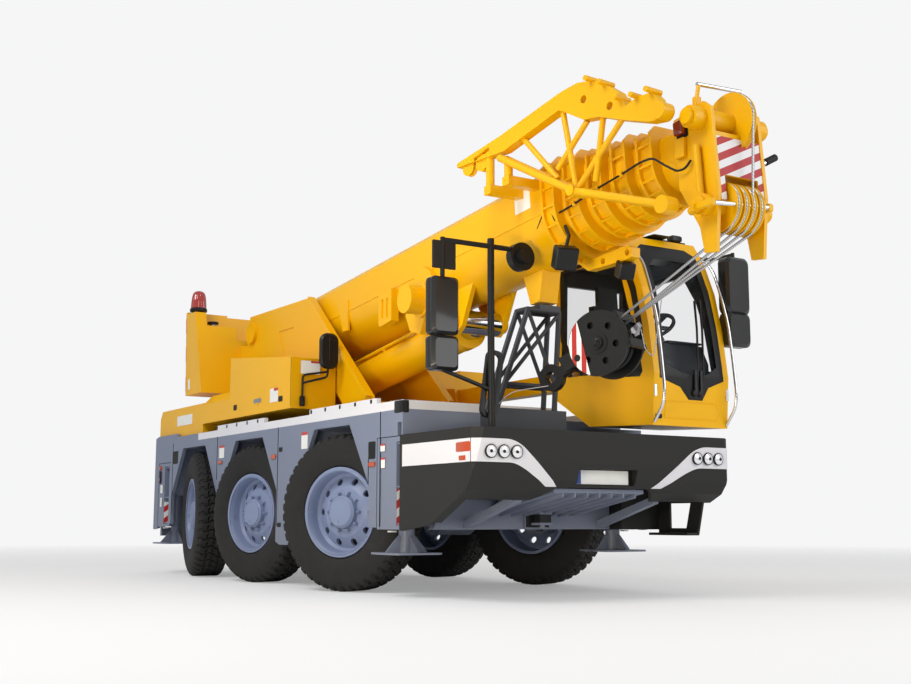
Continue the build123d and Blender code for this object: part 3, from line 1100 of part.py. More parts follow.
CAB_OUTLINE = (
    (1884.0, 1400.0), (2690.0, 1365.0), (2720.0, 1780.0), (2665.0, 2170.0), (2590.0, 2500.0),
    (2470.0, 2790.0), (2345.0, 2975.0), (2250.0, 2995.0), (1450.0, 2880.0), (1410.0, 1665.0),
)
CAB_FLOOR = 1445.0
CAB_INNER = (
    (1900.0, CAB_FLOOR), (2648.0, CAB_FLOOR), (2674.0, 1780.0), (2620.0, 2160.0),
    (2547.0, 2485.0), (2430.0, 2768.0), (2316.0, 2936.0), (2247.0, 2949.0), (1493.0, 2841.0),
    (1456.0, 1690.0),
)
WINDOW_RIGHT = (
    (1500.0, 1850.0), (1944.0, 1836.0), (2209.0, 1787.0), (2547.0, 1764.0), (2581.0, 1804.0),
    (2510.0, 2130.0), (2417.0, 2365.0), (2340.0, 2613.0), (2258.0, 2776.0), (1534.0, 2780.0),
)
DOOR_BOTTOM = 1640.0
DOOR_HOLE = (
    (1560.0, DOOR_BOTTOM + 35), (2560.0, DOOR_BOTTOM + 35), (2570.0, 1830.0), (2490.0, 2220.0),
    (2400.0, 2470.0), (2215.0, 2760.0), (1560.0, 2740.0),
)
SCREEN = (
    (450.0, 1745.0), (670.0, 1680.0), (765.0, 1580.0), (915.0, 1580.0), (977.0, 1686.0),
    (1143.0, 1750.0), (1128.0, 2850.0), (1040.0, 2905.0), (560.0, 2905.0), (475.0, 2850.0),
)
SCREEN_REAR = 2330.0
REAR_WINDOW = (CAB_RIGHT + 90, CAB_LEFT - 90, 1850.0, 2680.0)
ROOF_WINDOW = (1650.0, 2180.0)
PANE = 6.0
PANE_INSET = 12.0


def screen_band():
    """Curved sheet that follows the cab's front, cut to the windscreen's outline."""
    front = CAB_OUTLINE[1:7]
    slab([(x - PANE_INSET, z) for x, z in front] + [(x - PANE_INSET - PANE, z) for x, z in front[::-1]],
         CAB_RIGHT, CAB_LEFT)
    cross_slab(SCREEN, SCREEN_REAR, CAB_OUTLINE[2][0] + 20, mode=Mode.INTERSECT)


with BuildPart() as cab_shell:
    slab(CAB_OUTLINE, CAB_RIGHT, CAB_LEFT)
    slab(CAB_INNER, CAB_RIGHT + CAB_WALL, CAB_LEFT - CAB_WALL, mode=Mode.SUBTRACT)
    slab(WINDOW_RIGHT, CAB_RIGHT, CAB_RIGHT + CAB_WALL, mode=Mode.SUBTRACT)
    slab(DOOR_HOLE, CAB_LEFT - CAB_WALL, CAB_LEFT, mode=Mode.SUBTRACT)
    cross_slab(SCREEN, SCREEN_REAR, CAB_OUTLINE[2][0] + 20, mode=Mode.SUBTRACT)
    block(1380, 1520, REAR_WINDOW[0], REAR_WINDOW[1], REAR_WINDOW[2], REAR_WINDOW[3],
          mode=Mode.SUBTRACT)
    block(ROOF_WINDOW[0], ROOF_WINDOW[1], CAB_RIGHT + 120, CAB_LEFT - 120, 2780, 3100,
          mode=Mode.SUBTRACT)
    for y_low, y_high in ((ARM_Y[0] - BRACKET, ARM_Y[0] - PIN_GAP),
                          (ARM_Y[1] + PIN_GAP, ARM_Y[1] + BRACKET)):
        slab(((ARM_HEAD[0] - 70, ARM_HEAD[1] - 90), (ARM_HEAD[0] - 70, ARM_HEAD[1] + 90),
              (1440, ARM_HEAD[1] + 130), (1420, ARM_HEAD[1] - 130)), y_low, y_high)
    cross_bar(ARM_HEAD[0], ARM_HEAD[1], ARM_Y[0] - BRACKET - 15, ARM_Y[1] + BRACKET + 15, ARM_PIN)
save(cab_shell, "cab_shell")

with BuildPart() as cab_glass:
    screen_band()
    slab(WINDOW_RIGHT, CAB_RIGHT + PANE_INSET, CAB_RIGHT + PANE_INSET + PANE)
    block(1450, 1450 + PANE, REAR_WINDOW[0], REAR_WINDOW[1], REAR_WINDOW[2], REAR_WINDOW[3])
    roof_slope = (CAB_OUTLINE[7][1] - CAB_OUTLINE[8][1]) / (CAB_OUTLINE[7][0] - CAB_OUTLINE[8][0])
    roof = [CAB_OUTLINE[8][1] + roof_slope * (x - CAB_OUTLINE[8][0]) - 2 * PANE_INSET
            for x in ROOF_WINDOW]
    slab(((ROOF_WINDOW[0], roof[0]), (ROOF_WINDOW[1], roof[1]), (ROOF_WINDOW[1], roof[1] - PANE),
          (ROOF_WINDOW[0], roof[0] - PANE)), CAB_RIGHT + 120, CAB_LEFT - 120)
save(cab_glass, "cab_glass")

DOOR_WALL = 34.0
with BuildPart() as cab_door:
    slab(((1520.0, DOOR_BOTTOM), (2600.0, DOOR_BOTTOM), (2610.0, 1830.0), (2527.0, 2240.0),
          (2432.0, 2500.0), (2235.0, 2800.0), (1520.0, 2780.0)),
         CAB_LEFT + PIN_GAP, CAB_LEFT + DOOR_WALL)
    slab(((1600.0, 1860.0), (2530.0, 1860.0), (2455.0, 2215.0), (2365.0, 2455.0), (2192.0, 2720.0),
          (1600.0, 2700.0)), CAB_LEFT, CAB_LEFT + DOOR_WALL + 5, mode=Mode.SUBTRACT)
    for grip_z in (1720.0, 1790.0):
        block(1600, 1624, CAB_LEFT + DOOR_WALL - 5, CAB_LEFT + DOOR_WALL + 36, grip_z, grip_z + 20)
    block(1600, 1624, CAB_LEFT + DOOR_WALL + 18, CAB_LEFT + DOOR_WALL + 36, 1720, 1810)
save(cab_door, "cab_door")

SEAT_Y = (640.0, 1030.0)
WHEEL_HUB = (2235.0, 835.0, 2235.0)
WHEEL_RADIUS = 175.0
COLUMN_LEAN = 28.0
with BuildPart() as cab_interior:
    block(1640, 2080, SEAT_Y[0], SEAT_Y[1], 1760, 1900)
    slab(((1600, 1880), (1720, 1880), (1640, 2500), (1560, 2500)), SEAT_Y[0] + 20, SEAT_Y[1] - 20)
    slab(((1570, 2495), (1630, 2495), (1615, 2680), (1565, 2680)), SEAT_Y[0] + 90, SEAT_Y[1] - 90)
    block(1905, 2060, 740, 930, CAB_FLOOR, 1765)
    for arm_y in (SEAT_Y[0] - 90, SEAT_Y[1] + 10):
        block(1700, 2120, arm_y, arm_y + 80, 1990, 2070)
        block(1720, 1800, arm_y, arm_y + 80, 1765, 1995)
    block(1650, 2000, SEAT_Y[0] - 90, SEAT_Y[1] + 90, 1740, 1780)
    slab(((2330, CAB_FLOOR), (2330, 1930), (2400, 2060), (2520, 2060), (2600, 1900), (2620, CAB_FLOOR)),
         CAB_RIGHT + CAB_WALL + 40, CAB_LEFT - CAB_WALL - 60)
    way = Vector(-sin(radians(COLUMN_LEAN)), 0, cos(radians(COLUMN_LEAN)))
    hub = Vector(*WHEEL_HUB)
    bar(tuple(hub - way * 420 + Vector(40, 0, 0)), tuple(hub), 32)
    with BuildSketch(Plane(origin=hub, x_dir=(0, 1, 0), z_dir=way)) as spokes:
        Circle(WHEEL_RADIUS + 12)
        Circle(WHEEL_RADIUS - 14, mode=Mode.SUBTRACT)
        Circle(45)
        Rectangle(2 * WHEEL_RADIUS, 34)
        with Locations((0, -WHEEL_RADIUS / 2)):
            Rectangle(34, WHEEL_RADIUS)
    extrude(spokes.sketch, amount=22)
save(cab_interior, "cab_interior")

CAB_MIRROR_Y = 1334.0
CAB_MIRROR_X = 2680.0
with BuildPart() as cab_mirror:
    bar((2400, CAB_LEFT + PIN_GAP + 5, 2850), (2440, CAB_MIRROR_Y, 2850), 15)
    bar((2440, CAB_MIRROR_Y, 2850), (CAB_MIRROR_X, CAB_MIRROR_Y, 2850), 15)
    bar((CAB_MIRROR_X, CAB_MIRROR_Y, 2865), (CAB_MIRROR_X, CAB_MIRROR_Y, 2080), 15)
    for low, high in ((2350.0, 2800.0), (2070.0, 2330.0)):
        with BuildSketch(Plane.XY.offset(low)) as mirror:
            with Locations((CAB_MIRROR_X, CAB_MIRROR_Y)):
                RectangleRounded(110, 240, 50)
        extrude(mirror.sketch, amount=high - low)
save(cab_mirror, "cab_mirror")

# ---------------------------------------------------------------- boom rest and mirrors
REST_BOX_TOP = 1479.0
REST_BOX_Y = (-800.0, -120.0)
REST_HALF = 75.0
FRAME_TUBE = 22.0
# tubes of the rest's frames: from (y, z) to (y, z), radius
REST_TUBES = (
    ((-770.0, REST_BOX_TOP - 10), (-467.0, 2285.0), FRAME_TUBE),
    ((-215.0, REST_BOX_TOP - 10), (-157.0, 2285.0), FRAME_TUBE),
    ((-467.0, 2285.0), (-157.0, 2285.0), FRAME_TUBE),
    ((-697.0, 1672.0), (-201.0, 1672.0), 18.0),
    ((-460.0, 2270.0), (-205.0, 1680.0), 16.0),
    ((-160.0, 2270.0), (-690.0, 1680.0), 16.0),
)
with BuildPart() as boom_rest:
    block(REST_X - 110, REST_X + 110, REST_BOX_Y[0], REST_BOX_Y[1], BUMPER_TOP, REST_BOX_TOP)
    for x in (REST_X - REST_HALF, REST_X + REST_HALF):
        for start, end, radius in REST_TUBES:
            bar((x, start[0], start[1]), (x, end[0], end[1]), radius)
        for corner_y in (REST_TUBES[2][0][0], REST_TUBES[2][1][0]):
            with Locations((x, corner_y, REST_TUBES[2][0][1])):
                Sphere(FRAME_TUBE)
    for corner_y in (REST_TUBES[2][0][0], REST_TUBES[2][1][0]):
        bar((REST_X - REST_HALF, corner_y, 2285), (REST_X + REST_HALF, corner_y, 2285), FRAME_TUBE)
    block(REST_X - 95, REST_X + 95, BOOM_Y - 110, BOOM_Y + 93, 2285, REST_TOP - PIN_GAP)
save(boom_rest, "boom_rest")

POST_X = 2400.0
POST_Y = -950.0
MIRROR_Y = -1385.0
MIRROR_TOP = 2700.0
MIRROR_HALF = 110.0
with BuildPart() as mirror_frame:
    bar((POST_X, POST_Y, BUMPER_TOP), (POST_X, POST_Y, 2760), 27)
    bar((POST_X, -660, MIRROR_TOP), (POST_X, MIRROR_Y, MIRROR_TOP), 20)
    bar((POST_X, MIRROR_Y, MIRROR_TOP + 20), (POST_X, MIRROR_Y, 1705), 18)
    bar((POST_X, POST_Y, 1590), (POST_X, MIRROR_Y, 1718), 16)
    for low, high in ((1991.0, 2392.0), (1725.0, 1949.0)):
        with BuildSketch(Plane.XY.offset(low)) as mirror:
            with Locations((POST_X, MIRROR_Y - 10)):
                RectangleRounded(120, 2 * MIRROR_HALF, 50)
        extrude(mirror.sketch, amount=high - low)
    block(POST_X - 12, POST_X + 12, MIRROR_Y - 85, MIRROR_Y + 110, 2480, 2690)
    bar((POST_X - 45, -665, 2650), (POST_X + 25, -665, 2650), 112)
    bar((POST_X + 24, -665, 2650), (POST_X + 75, -665, 2650), 60)
    with BuildSketch(Plane.YZ.offset(POST_X - 50)) as loop:
        with Locations((POST_Y + 25, 1640)):
            RectangleRounded(150, 520, 60, rotation=-8)
            RectangleRounded(86, 456, 36, rotation=-8, mode=Mode.SUBTRACT)
    extrude(loop.sketch, amount=34)
save(mirror_frame, "mirror_frame")
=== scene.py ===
"""Finishes, glass, tread, ropes and small fittings of a three-axle truck crane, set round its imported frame."""
import json
from math import atan2, cos, hypot, pi, radians, sin, sqrt

import bpy
import numpy as np
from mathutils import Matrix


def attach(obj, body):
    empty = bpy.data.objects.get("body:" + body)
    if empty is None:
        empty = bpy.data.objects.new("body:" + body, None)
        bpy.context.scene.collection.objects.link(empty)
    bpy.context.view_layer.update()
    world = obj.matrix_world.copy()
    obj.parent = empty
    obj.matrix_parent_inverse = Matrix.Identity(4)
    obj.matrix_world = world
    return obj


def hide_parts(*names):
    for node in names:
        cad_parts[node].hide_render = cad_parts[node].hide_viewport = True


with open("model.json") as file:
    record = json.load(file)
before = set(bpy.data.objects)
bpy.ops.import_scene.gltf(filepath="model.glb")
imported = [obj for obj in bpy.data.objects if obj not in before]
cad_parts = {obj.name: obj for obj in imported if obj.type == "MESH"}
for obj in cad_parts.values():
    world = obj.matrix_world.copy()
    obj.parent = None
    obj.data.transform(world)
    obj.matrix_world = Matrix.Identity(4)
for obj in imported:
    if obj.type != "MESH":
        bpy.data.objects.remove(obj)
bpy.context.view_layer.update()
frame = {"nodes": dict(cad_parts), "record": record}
NODES = frame["nodes"]
MM = 0.001
RIGHT, LEFT = -1, 1
SIDES = (("right", RIGHT), ("left", LEFT))


# ---------------------------------------------------------------- colour and materials
def linear(code):
    """Linear RGB of an sRGB hex colour: (c / 12.92) near black, else ((c + 0.055) / 1.055) to the power 2.4."""
    parts = [int(code[i:i + 2], 16) / 255 for i in (0, 2, 4)]
    return [c / 12.92 if c <= 0.04045 else ((c + 0.055) / 1.055) ** 2.4 for c in parts] + [1.0]


def add(tree, kind, settings=None, links=None):
    """Node of a kind, with settings (attributes, or sockets by name or index) and incoming links."""
    node = tree.nodes.new(kind)
    for key, value in (settings or {}).items():
        if isinstance(key, int) or key in node.inputs:
            node.inputs[key].default_value = value
        else:
            setattr(node, key, value)
    for key, source in (links or {}).items():
        tree.links.new(source, node.inputs[key])
    return node


def new_material(name, base, roughness, **sockets):
    """Material with one Principled shader, ready for its pattern nodes."""
    material = bpy.data.materials.new(name)
    material.use_nodes = True
    tree = material.node_tree
    shader = tree.nodes["Principled BSDF"]
    shader.inputs["Base Color"].default_value = linear(base)
    shader.inputs["Roughness"].default_value = roughness
    for key, value in sockets.items():
        shader.inputs[key.replace("_", " ")].default_value = value
    return material, tree, shader


def blended(tree, factor, first, second):
    """Colour mix of two sources, each an output socket or a hex colour."""
    mix = add(tree, "ShaderNodeMix", {"data_type": "RGBA"})
    for key, source in ((0, factor), (6, first), (7, second)):
        if isinstance(source, str):
            mix.inputs[key].default_value = linear(source)
        elif isinstance(source, float):
            mix.inputs[key].default_value = source
        else:
            tree.links.new(source, mix.inputs[key])
    return mix.outputs[2]


def roughened(tree, shader, place, scale, strength, depth_mm):
    """Fine relief from noise of a scale per metre, as a bump of a depth in millimetres."""
    grain = add(tree, "ShaderNodeTexNoise", {"Scale": scale, "Detail": 3.0}, {"Vector": place})
    bump = add(tree, "ShaderNodeBump", {"Strength": strength, "Distance": depth_mm * MM},
               {"Height": grain.outputs["Fac"]})
    tree.links.new(bump.outputs[0], shader.inputs["Normal"])
    return grain.outputs["Fac"]


def enamel(name, base, shade, roughness, grain_mm=900.0, dust=0.0, coat=0.08, inner_shade_point=None):
    """Sprayed two-pack enamel on steel: the colour drifts a little over a panel, orange peel stirs the gloss,
    and road dust lies thicker towards the ground. Faces that look towards a given point get painted shade, near black,
    for the shade inside a cab."""
    material, tree, shader = new_material(name, base, roughness, Coat_Weight=coat, Coat_Roughness=0.08,
                                          Specular_IOR_Level=0.28)
    place = add(tree, "ShaderNodeTexCoord").outputs["Object"]
    drift = add(tree, "ShaderNodeTexNoise", {"Scale": 1000.0 / grain_mm, "Detail": 3.0}, {"Vector": place})
    colour = blended(tree, drift.outputs["Fac"], shade, base)
    if dust:
        height = add(tree, "ShaderNodeSeparateXYZ", links={0: place}).outputs[2]
        low = add(tree, "ShaderNodeMapRange", {"From Min": 1.3, "From Max": 0.3, "To Max": dust}, {"Value": height})
        speck = add(tree, "ShaderNodeTexNoise", {"Scale": 9.0, "Detail": 6.0}, {"Vector": place})
        part = add(tree, "ShaderNodeMath", {"operation": "MULTIPLY"}, {0: low.outputs[0], 1: speck.outputs["Fac"]})
        colour = blended(tree, part.outputs[0], colour, "8C8170")
    # painted shade: faces turned towards the given point inside are made near black, as the shade that falls inside the
    # cab
    if inner_shade_point:
        inward = add(tree, "ShaderNodeVectorMath", {"operation": "SUBTRACT", 0: inner_shade_point}, {1: place})
        facing = add(tree, "ShaderNodeVectorMath", {"operation": "DOT_PRODUCT"},
                     {0: inward.outputs[0], 1: place.node.outputs["Normal"]})
        inner = add(tree, "ShaderNodeMath", {"operation": "GREATER_THAN", 1: 0.02}, {0: facing.outputs["Value"]})
        colour = blended(tree, inner.outputs[0], colour, "17181B")
    tree.links.new(colour, shader.inputs["Base Color"])
    roughened(tree, shader, place, 220.0, 0.04, 0.6)
    return material


def metal(name, base, roughness, grain_per_m=60.0, twist=False):
    """Bare or plated metal with a drawn grain; twist adds the strands of a wire rope, 12 mm apart."""
    material, tree, shader = new_material(name, base, roughness, Metallic=1.0)
    place = add(tree, "ShaderNodeTexCoord").outputs["Object"]
    stain = add(tree, "ShaderNodeTexNoise", {"Scale": grain_per_m, "Detail": 4.0}, {"Vector": place})
    wear = add(tree, "ShaderNodeMapRange", {"To Min": roughness * 0.8, "To Max": roughness * 1.3},
               {"Value": stain.outputs["Fac"]})
    tree.links.new(wear.outputs[0], shader.inputs["Roughness"])
    if twist:
        strands = add(tree, "ShaderNodeTexWave", {"Scale": 26.0, "Distortion": 0.4, "bands_direction": "DIAGONAL"},
                      {"Vector": place})
        bump = add(tree, "ShaderNodeBump", {"Strength": 0.35, "Distance": 0.001}, {"Height": strands.outputs["Fac"]})
        tree.links.new(bump.outputs[0], shader.inputs["Normal"])
        tree.links.new(blended(tree, strands.outputs["Fac"], "A3A5A8", base), shader.inputs["Base Color"])
    return material


def striped(name, axes, pitch_mm, first, second, offset=0.0, share=0.5):
    """Reflective film in two colours: bands where the fraction of (a.p) / pitch + offset is under a share."""
    material, tree, shader = new_material(name, first, 0.4, Specular_IOR_Level=0.3)
    place = add(tree, "ShaderNodeTexCoord").outputs["Object"]
    along = add(tree, "ShaderNodeVectorMath", {"operation": "DOT_PRODUCT", 1: axes}, {0: place})
    turns = add(tree, "ShaderNodeMath", {"operation": "MULTIPLY_ADD", 1: 1000.0 / pitch_mm, 2: offset},
                {0: along.outputs["Value"]})
    part = add(tree, "ShaderNodeMath", {"operation": "FRACT"}, {0: turns.outputs[0]})
    band = add(tree, "ShaderNodeMath", {"operation": "LESS_THAN", 1: share}, {0: part.outputs[0]})
    cells = add(tree, "ShaderNodeTexVoronoi", {"Scale": 320.0}, {"Vector": place})
    film = blended(tree, band.outputs[0], second, first)
    tree.links.new(blended(tree, 0.02, film, cells.outputs["Color"]), shader.inputs["Base Color"])
    return material


def clear(name, base, roughness, alpha, **sockets):
    """Glass or lens: a clear coat over a tinted, part-transparent body, with faint dust in its gloss."""
    material, tree, shader = new_material(name, base, roughness, Alpha=alpha, **sockets)
    place = add(tree, "ShaderNodeTexCoord").outputs["Object"]
    film = add(tree, "ShaderNodeTexNoise", {"Scale": 7.0, "Detail": 5.0}, {"Vector": place})
    haze = add(tree, "ShaderNodeMapRange", {"To Min": roughness, "To Max": roughness + 0.06},
               {"Value": film.outputs["Fac"]})
    tree.links.new(haze.outputs[0], shader.inputs["Roughness"])
    return material


yellow_enamel = enamel("yellow_enamel", "EDB400", "E8AB00", 0.34)
# the cab shell and door get painted shade, near black, on their inner faces
cab_enamel_and_painted_shade = enamel("cab_enamel_and_painted_shade", "EDB400", "E8AB00", 0.34, inner_shade_point=(2.05, 0.8, 2.2))
carrier_enamel = enamel("blue_grey_enamel", "7A8398", "727B90", 0.42, dust=0.3)
rim_enamel = enamel("rim_enamel", "8593B4", "7B89AA", 0.4, dust=0.25)
white_enamel = enamel("white_enamel", "DEDEE3", "D6D6DC", 0.4)
black_enamel = enamel("black_enamel", "131415", "191A1C", 0.4)
frame_enamel = enamel("rest_frame_enamel", "33363D", "2C2F35", 0.4)
bumper_plastic = enamel("bumper_skin", "272726", "222221", 0.55, coat=0.0)
tyre_rubber = enamel("tyre_rubber", "292929", "202021", 0.8, grain_mm=60.0, dust=0.06, coat=0.0)
cast_iron = enamel("cast_iron", "3A3A3A", "303030", 0.7, coat=0.0)
trim_plastic = enamel("trim_plastic", "2A2D33", "222428", 0.6, coat=0.0)
# black rubber; the same material also makes the flat patches of painted shade in openings, slots and recesses
black_rubber_and_painted_shade = enamel("black_rubber_and_painted_shade", "141414", "1C1C1C", 0.55, grain_mm=40.0, coat=0.0)
seal_rubber = enamel("seal_rubber", "101112", "17181A", 0.4, grain_mm=200.0)
sticker_film = enamel("sticker_film", "EDEDEA", "E0E0DC", 0.4, grain_mm=80.0)
sticker_red = enamel("sticker_band", "C8453A", "B93C32", 0.4, grain_mm=80.0)
plate_blue = enamel("plate_band", "2A4C9A", "24458F", 0.35, grain_mm=60.0)
bright_steel = metal("polished_tube", "DADCE0", 0.14)
rod_chrome = metal("hard_chrome", "C9CBD0", 0.1)
wire_rope = metal("wire_rope", "D2D4D6", 0.34, twist=True)
zinc_plate = metal("zinc_plate", "A9ABB0", 0.45, grain_per_m=25.0)
window_glass = clear("window_glass", "39434A", 0.02, 0.07, Coat_Weight=0.3)
lamp_glass = clear("lamp_glass", "E6E8EC", 0.08, 1.0, Coat_Weight=1.0, Metallic=0.35)
glossy_cover = enamel("glossy_cover", "17181A", "121315", 0.3, coat=0.6)
orange_lens = clear("orange_lens", "B8420C", 0.15, 1.0, Coat_Weight=0.6)
red_lens = clear("red_lens", "7C1A10", 0.12, 1.0, Coat_Weight=1.0)
beacon_lens = clear("beacon_lens", "A8281A", 0.08, 0.9, Coat_Weight=1.0)

SLOT_MATERIALS = {
    "yellow_paint": yellow_enamel, "blue_grey_paint": carrier_enamel, "rim_paint": rim_enamel,
    "tyre_rubber": tyre_rubber, "dark_bumper": bumper_plastic, "white_rail": white_enamel,
    "black_frame": frame_enamel, "lamp_glass": lamp_glass, "iron": cast_iron, "black_trim": trim_plastic,
    "window_glass": window_glass,
}
NODE_MATERIALS = {"cylinder_rod": rod_chrome, "cab_mirror": black_enamel, "mirror_frame": black_enamel,
                  "hook_block": black_enamel, "cab_shell": cab_enamel_and_painted_shade, "cab_door": cab_enamel_and_painted_shade}
for row in frame["record"]["subparts"]:
    NODES[row["node"]].data.materials.clear()
    NODES[row["node"]].data.materials.append(NODE_MATERIALS.get(row["node"], SLOT_MATERIALS[row["material_slot"]]))


# ---------------------------------------------------------------- shapes, in millimetres
def unit(vector):
    """Vector over its length, row by row."""
    vector = np.asarray(vector, float)
    return vector / np.maximum(np.linalg.norm(vector, axis=-1, keepdims=True), 1e-9)


def lattice(rows, columns, round_rows=False, round_columns=False):
    """Quads of a rows by columns lattice; an index past the end of a closed direction wraps to 0."""
    i, j = np.meshgrid(np.arange(rows - (not round_rows)), np.arange(columns - (not round_columns)), indexing="ij")
    k, m = (i + 1) % rows, (j + 1) % columns
    return np.stack([i * columns + j, i * columns + m, k * columns + m, k * columns + j], -1).reshape(-1, 4)


def closed_tube(rings):
    """Shell over rings of equal length: quads between neighbours, and a face over either end."""
    rows, columns = rings.shape[:2]
    ends = np.stack([np.arange(columns)[::-1], np.arange(columns) + (rows - 1) * columns])
    return rings.reshape(-1, 3), [lattice(rows, columns, round_columns=True), ends]


def sweep(path, radius, sides=10):
    """Round bar along a path: P + r (cos a N + sin a B); B is the normal of the plane that the path's directions
    lie nearest to, made square to the direction, and N is the third axis."""
    path = np.asarray(path, float)
    way = unit(np.gradient(path, axis=0))
    flat = np.linalg.svd(way)[2][-1]
    normal = unit(np.cross(flat, way))
    side = np.cross(way, normal)
    turn = 2 * pi * np.arange(sides) / sides
    ring = np.cos(turn)[:, None] * normal[:, None] + np.sin(turn)[:, None] * side[:, None]
    return closed_tube(path[:, None] + radius * ring)


def rounded(points, reach, steps=6):
    """Path with each inner corner P eased: (1-t)^2 A + 2t(1-t) P + t^2 B, where A and B lie the reach, or 0.45 of
    the leg if that is less, before and after P."""
    corner = np.asarray(points, float)
    leg = np.diff(corner, axis=0)
    length = np.linalg.norm(leg, axis=1, keepdims=True)
    cut = np.minimum(reach, 0.45 * np.minimum(length[:-1], length[1:]))
    before = corner[1:-1] - leg[:-1] / length[:-1] * cut
    after = corner[1:-1] + leg[1:] / length[1:] * cut
    t = np.linspace(0, 1, steps)[None, :, None]
    curve = (1 - t) ** 2 * before[:, None] + 2 * t * (1 - t) * corner[1:-1, None] + t ** 2 * after[:, None]
    return np.concatenate([corner[:1], curve.reshape(-1, corner.shape[1]), corner[-1:]])


def dense(path, steps=8):
    """Path with the same number of points added along each leg: P + t (Q - P)."""
    corner = np.asarray(path, float)
    t = np.linspace(0, 1, steps, endpoint=False)[None, :, None]
    legs = corner[:-1, None] * (1 - t) + corner[1:, None] * t
    return np.concatenate([legs.reshape(-1, corner.shape[1]), corner[-1:]])


def lathe(profile, centre, axis, segments=32):
    """Turned solid: C + h W + r (cos a U + sin a V) over (radius, height) pairs, U and V square to the axis W."""
    radius, height = np.asarray(profile, float).T
    axis = unit(axis)
    u = unit(np.cross(axis, (0.31, 0.52, 0.8)))
    turn = 2 * pi * np.arange(segments) / segments
    ring = np.cos(turn)[:, None] * u + np.sin(turn)[:, None] * np.cross(axis, u)
    return closed_tube(np.asarray(centre, float) + height[:, None, None] * axis + radius[:, None, None] * ring)


def ring(profile, centre, axis, segments=48):
    """Turned band: the same as a turned solid, but its (radius, height) outline closes on itself."""
    points, _ = lathe(profile, centre, axis, segments)
    return points, [lattice(len(profile), segments, True, True)]


def prism(outline, origin, across, up, depth, bevel=0.0):
    """Slab: outline points (s, t) at O + s A + t U, pushed depth along A x U; a bevel draws both rims in."""
    outline = np.asarray(outline, float)
    across, up = unit(across), unit(up)
    middle = (outline.max(0) + outline.min(0)) / 2
    half = np.maximum((outline.max(0) - outline.min(0)) / 2, 1e-6)
    levels = ((1, 0), (0, bevel), (0, depth - bevel), (1, depth)) if bevel else ((0, 0), (0, depth))
    rings = []
    for drawn, level in levels:
        flat = middle + (outline - middle) * (1 - drawn * bevel / half)
        rings.append(np.asarray(origin, float) + flat[:, :1] * across + flat[:, 1:] * up
                     + level * np.cross(across, up))
    return closed_tube(np.array(rings))


def round_rectangle(width, height, radius, steps=5):
    """Rectangle about 0 with round corners: corner centre + r (cos a, sin a), a over four equal quarters."""
    quarter = np.arange(4)[:, None] * pi / 2
    turn = quarter + np.linspace(0, pi / 2, steps)
    centre_x = (width / 2 - radius) * np.sign(np.cos(quarter + pi / 4))
    centre_y = (height / 2 - radius) * np.sign(np.sin(quarter + pi / 4))
    return np.stack([centre_x + radius * np.cos(turn), centre_y + radius * np.sin(turn)], -1).reshape(-1, 2)


def brick(low, high, bevel=3.0):
    """Box between two corners with eased rims, built up along Z."""
    low, high = np.asarray(low, float), np.asarray(high, float)
    size = high - low
    middle = (low + high) / 2
    return prism(round_rectangle(size[0], size[1], min(bevel, size[0] * 0.4, size[1] * 0.4), 3),
                 (middle[0], middle[1], low[2]), (1, 0, 0), (0, 1, 0), size[2], min(bevel, size[2] * 0.4))


def sheet(low_edge, high_edge, steps=2):
    """Thin skin between two edges of equal length: (1 - v) low + v high."""
    v = np.linspace(0, 1, steps)[:, None, None]
    skin = (1 - v) * np.asarray(low_edge, float) + v * np.asarray(high_edge, float)
    return skin.reshape(-1, skin.shape[2]), [lattice(steps, skin.shape[1])]


def piece(name, shells, finish, body, sharp=35.0):
    """One mesh of joined shells, millimetres to metres, smooth but for edges over an angle, riding a body."""
    starts = np.cumsum([0] + [len(points) for points, _ in shells])
    faces = [face for start, (_, groups) in zip(starts, shells) for group in groups
             for face in (group + start).tolist()]
    mesh = bpy.data.meshes.new(name)
    mesh.from_pydata((np.concatenate([points for points, _ in shells]) * MM).tolist(), [], faces)
    mesh.materials.append(finish)
    mesh.polygons.foreach_set("use_smooth", np.ones(len(faces), bool))
    mesh.set_sharp_from_angle(angle=radians(sharp))
    thing = bpy.data.objects.new(name, mesh)
    bpy.context.scene.collection.objects.link(thing)
    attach(thing, body)
    return thing


# ---------------------------------------------------------------- wheels
AXLES = (("front", 280.0, 24.0), ("middle", -1603.0, 13.0), ("rear", -3182.0, -12.0))
KINGPIN_Y = 938.0
TYRE_RADIUS = 685.0
TYRE_SPAN = (-65.0, 320.0)      # inner and outer wall, outwards from the kingpin
# tyre wall and crown, from one shoulder to the middle: (in from the wall, radius)
WALL = ((44, 392), (20, 408), (6, 440), (0, 480), (0, 540), (6, 590), (14, 622), (22, 642), (26, 652), (36, 668),
        (52, 680), (66, 684), (104, 685), (120, 685), (124, 685), (128, 685), (140, 685), (164, 685), (168, 685),
        (172, 685), (192.5, 685))
GROOVE = 19.0
PITCHES = 46
SAMPLES = 10
NUT_RING = 168.0
NUT_FACE = 226.0


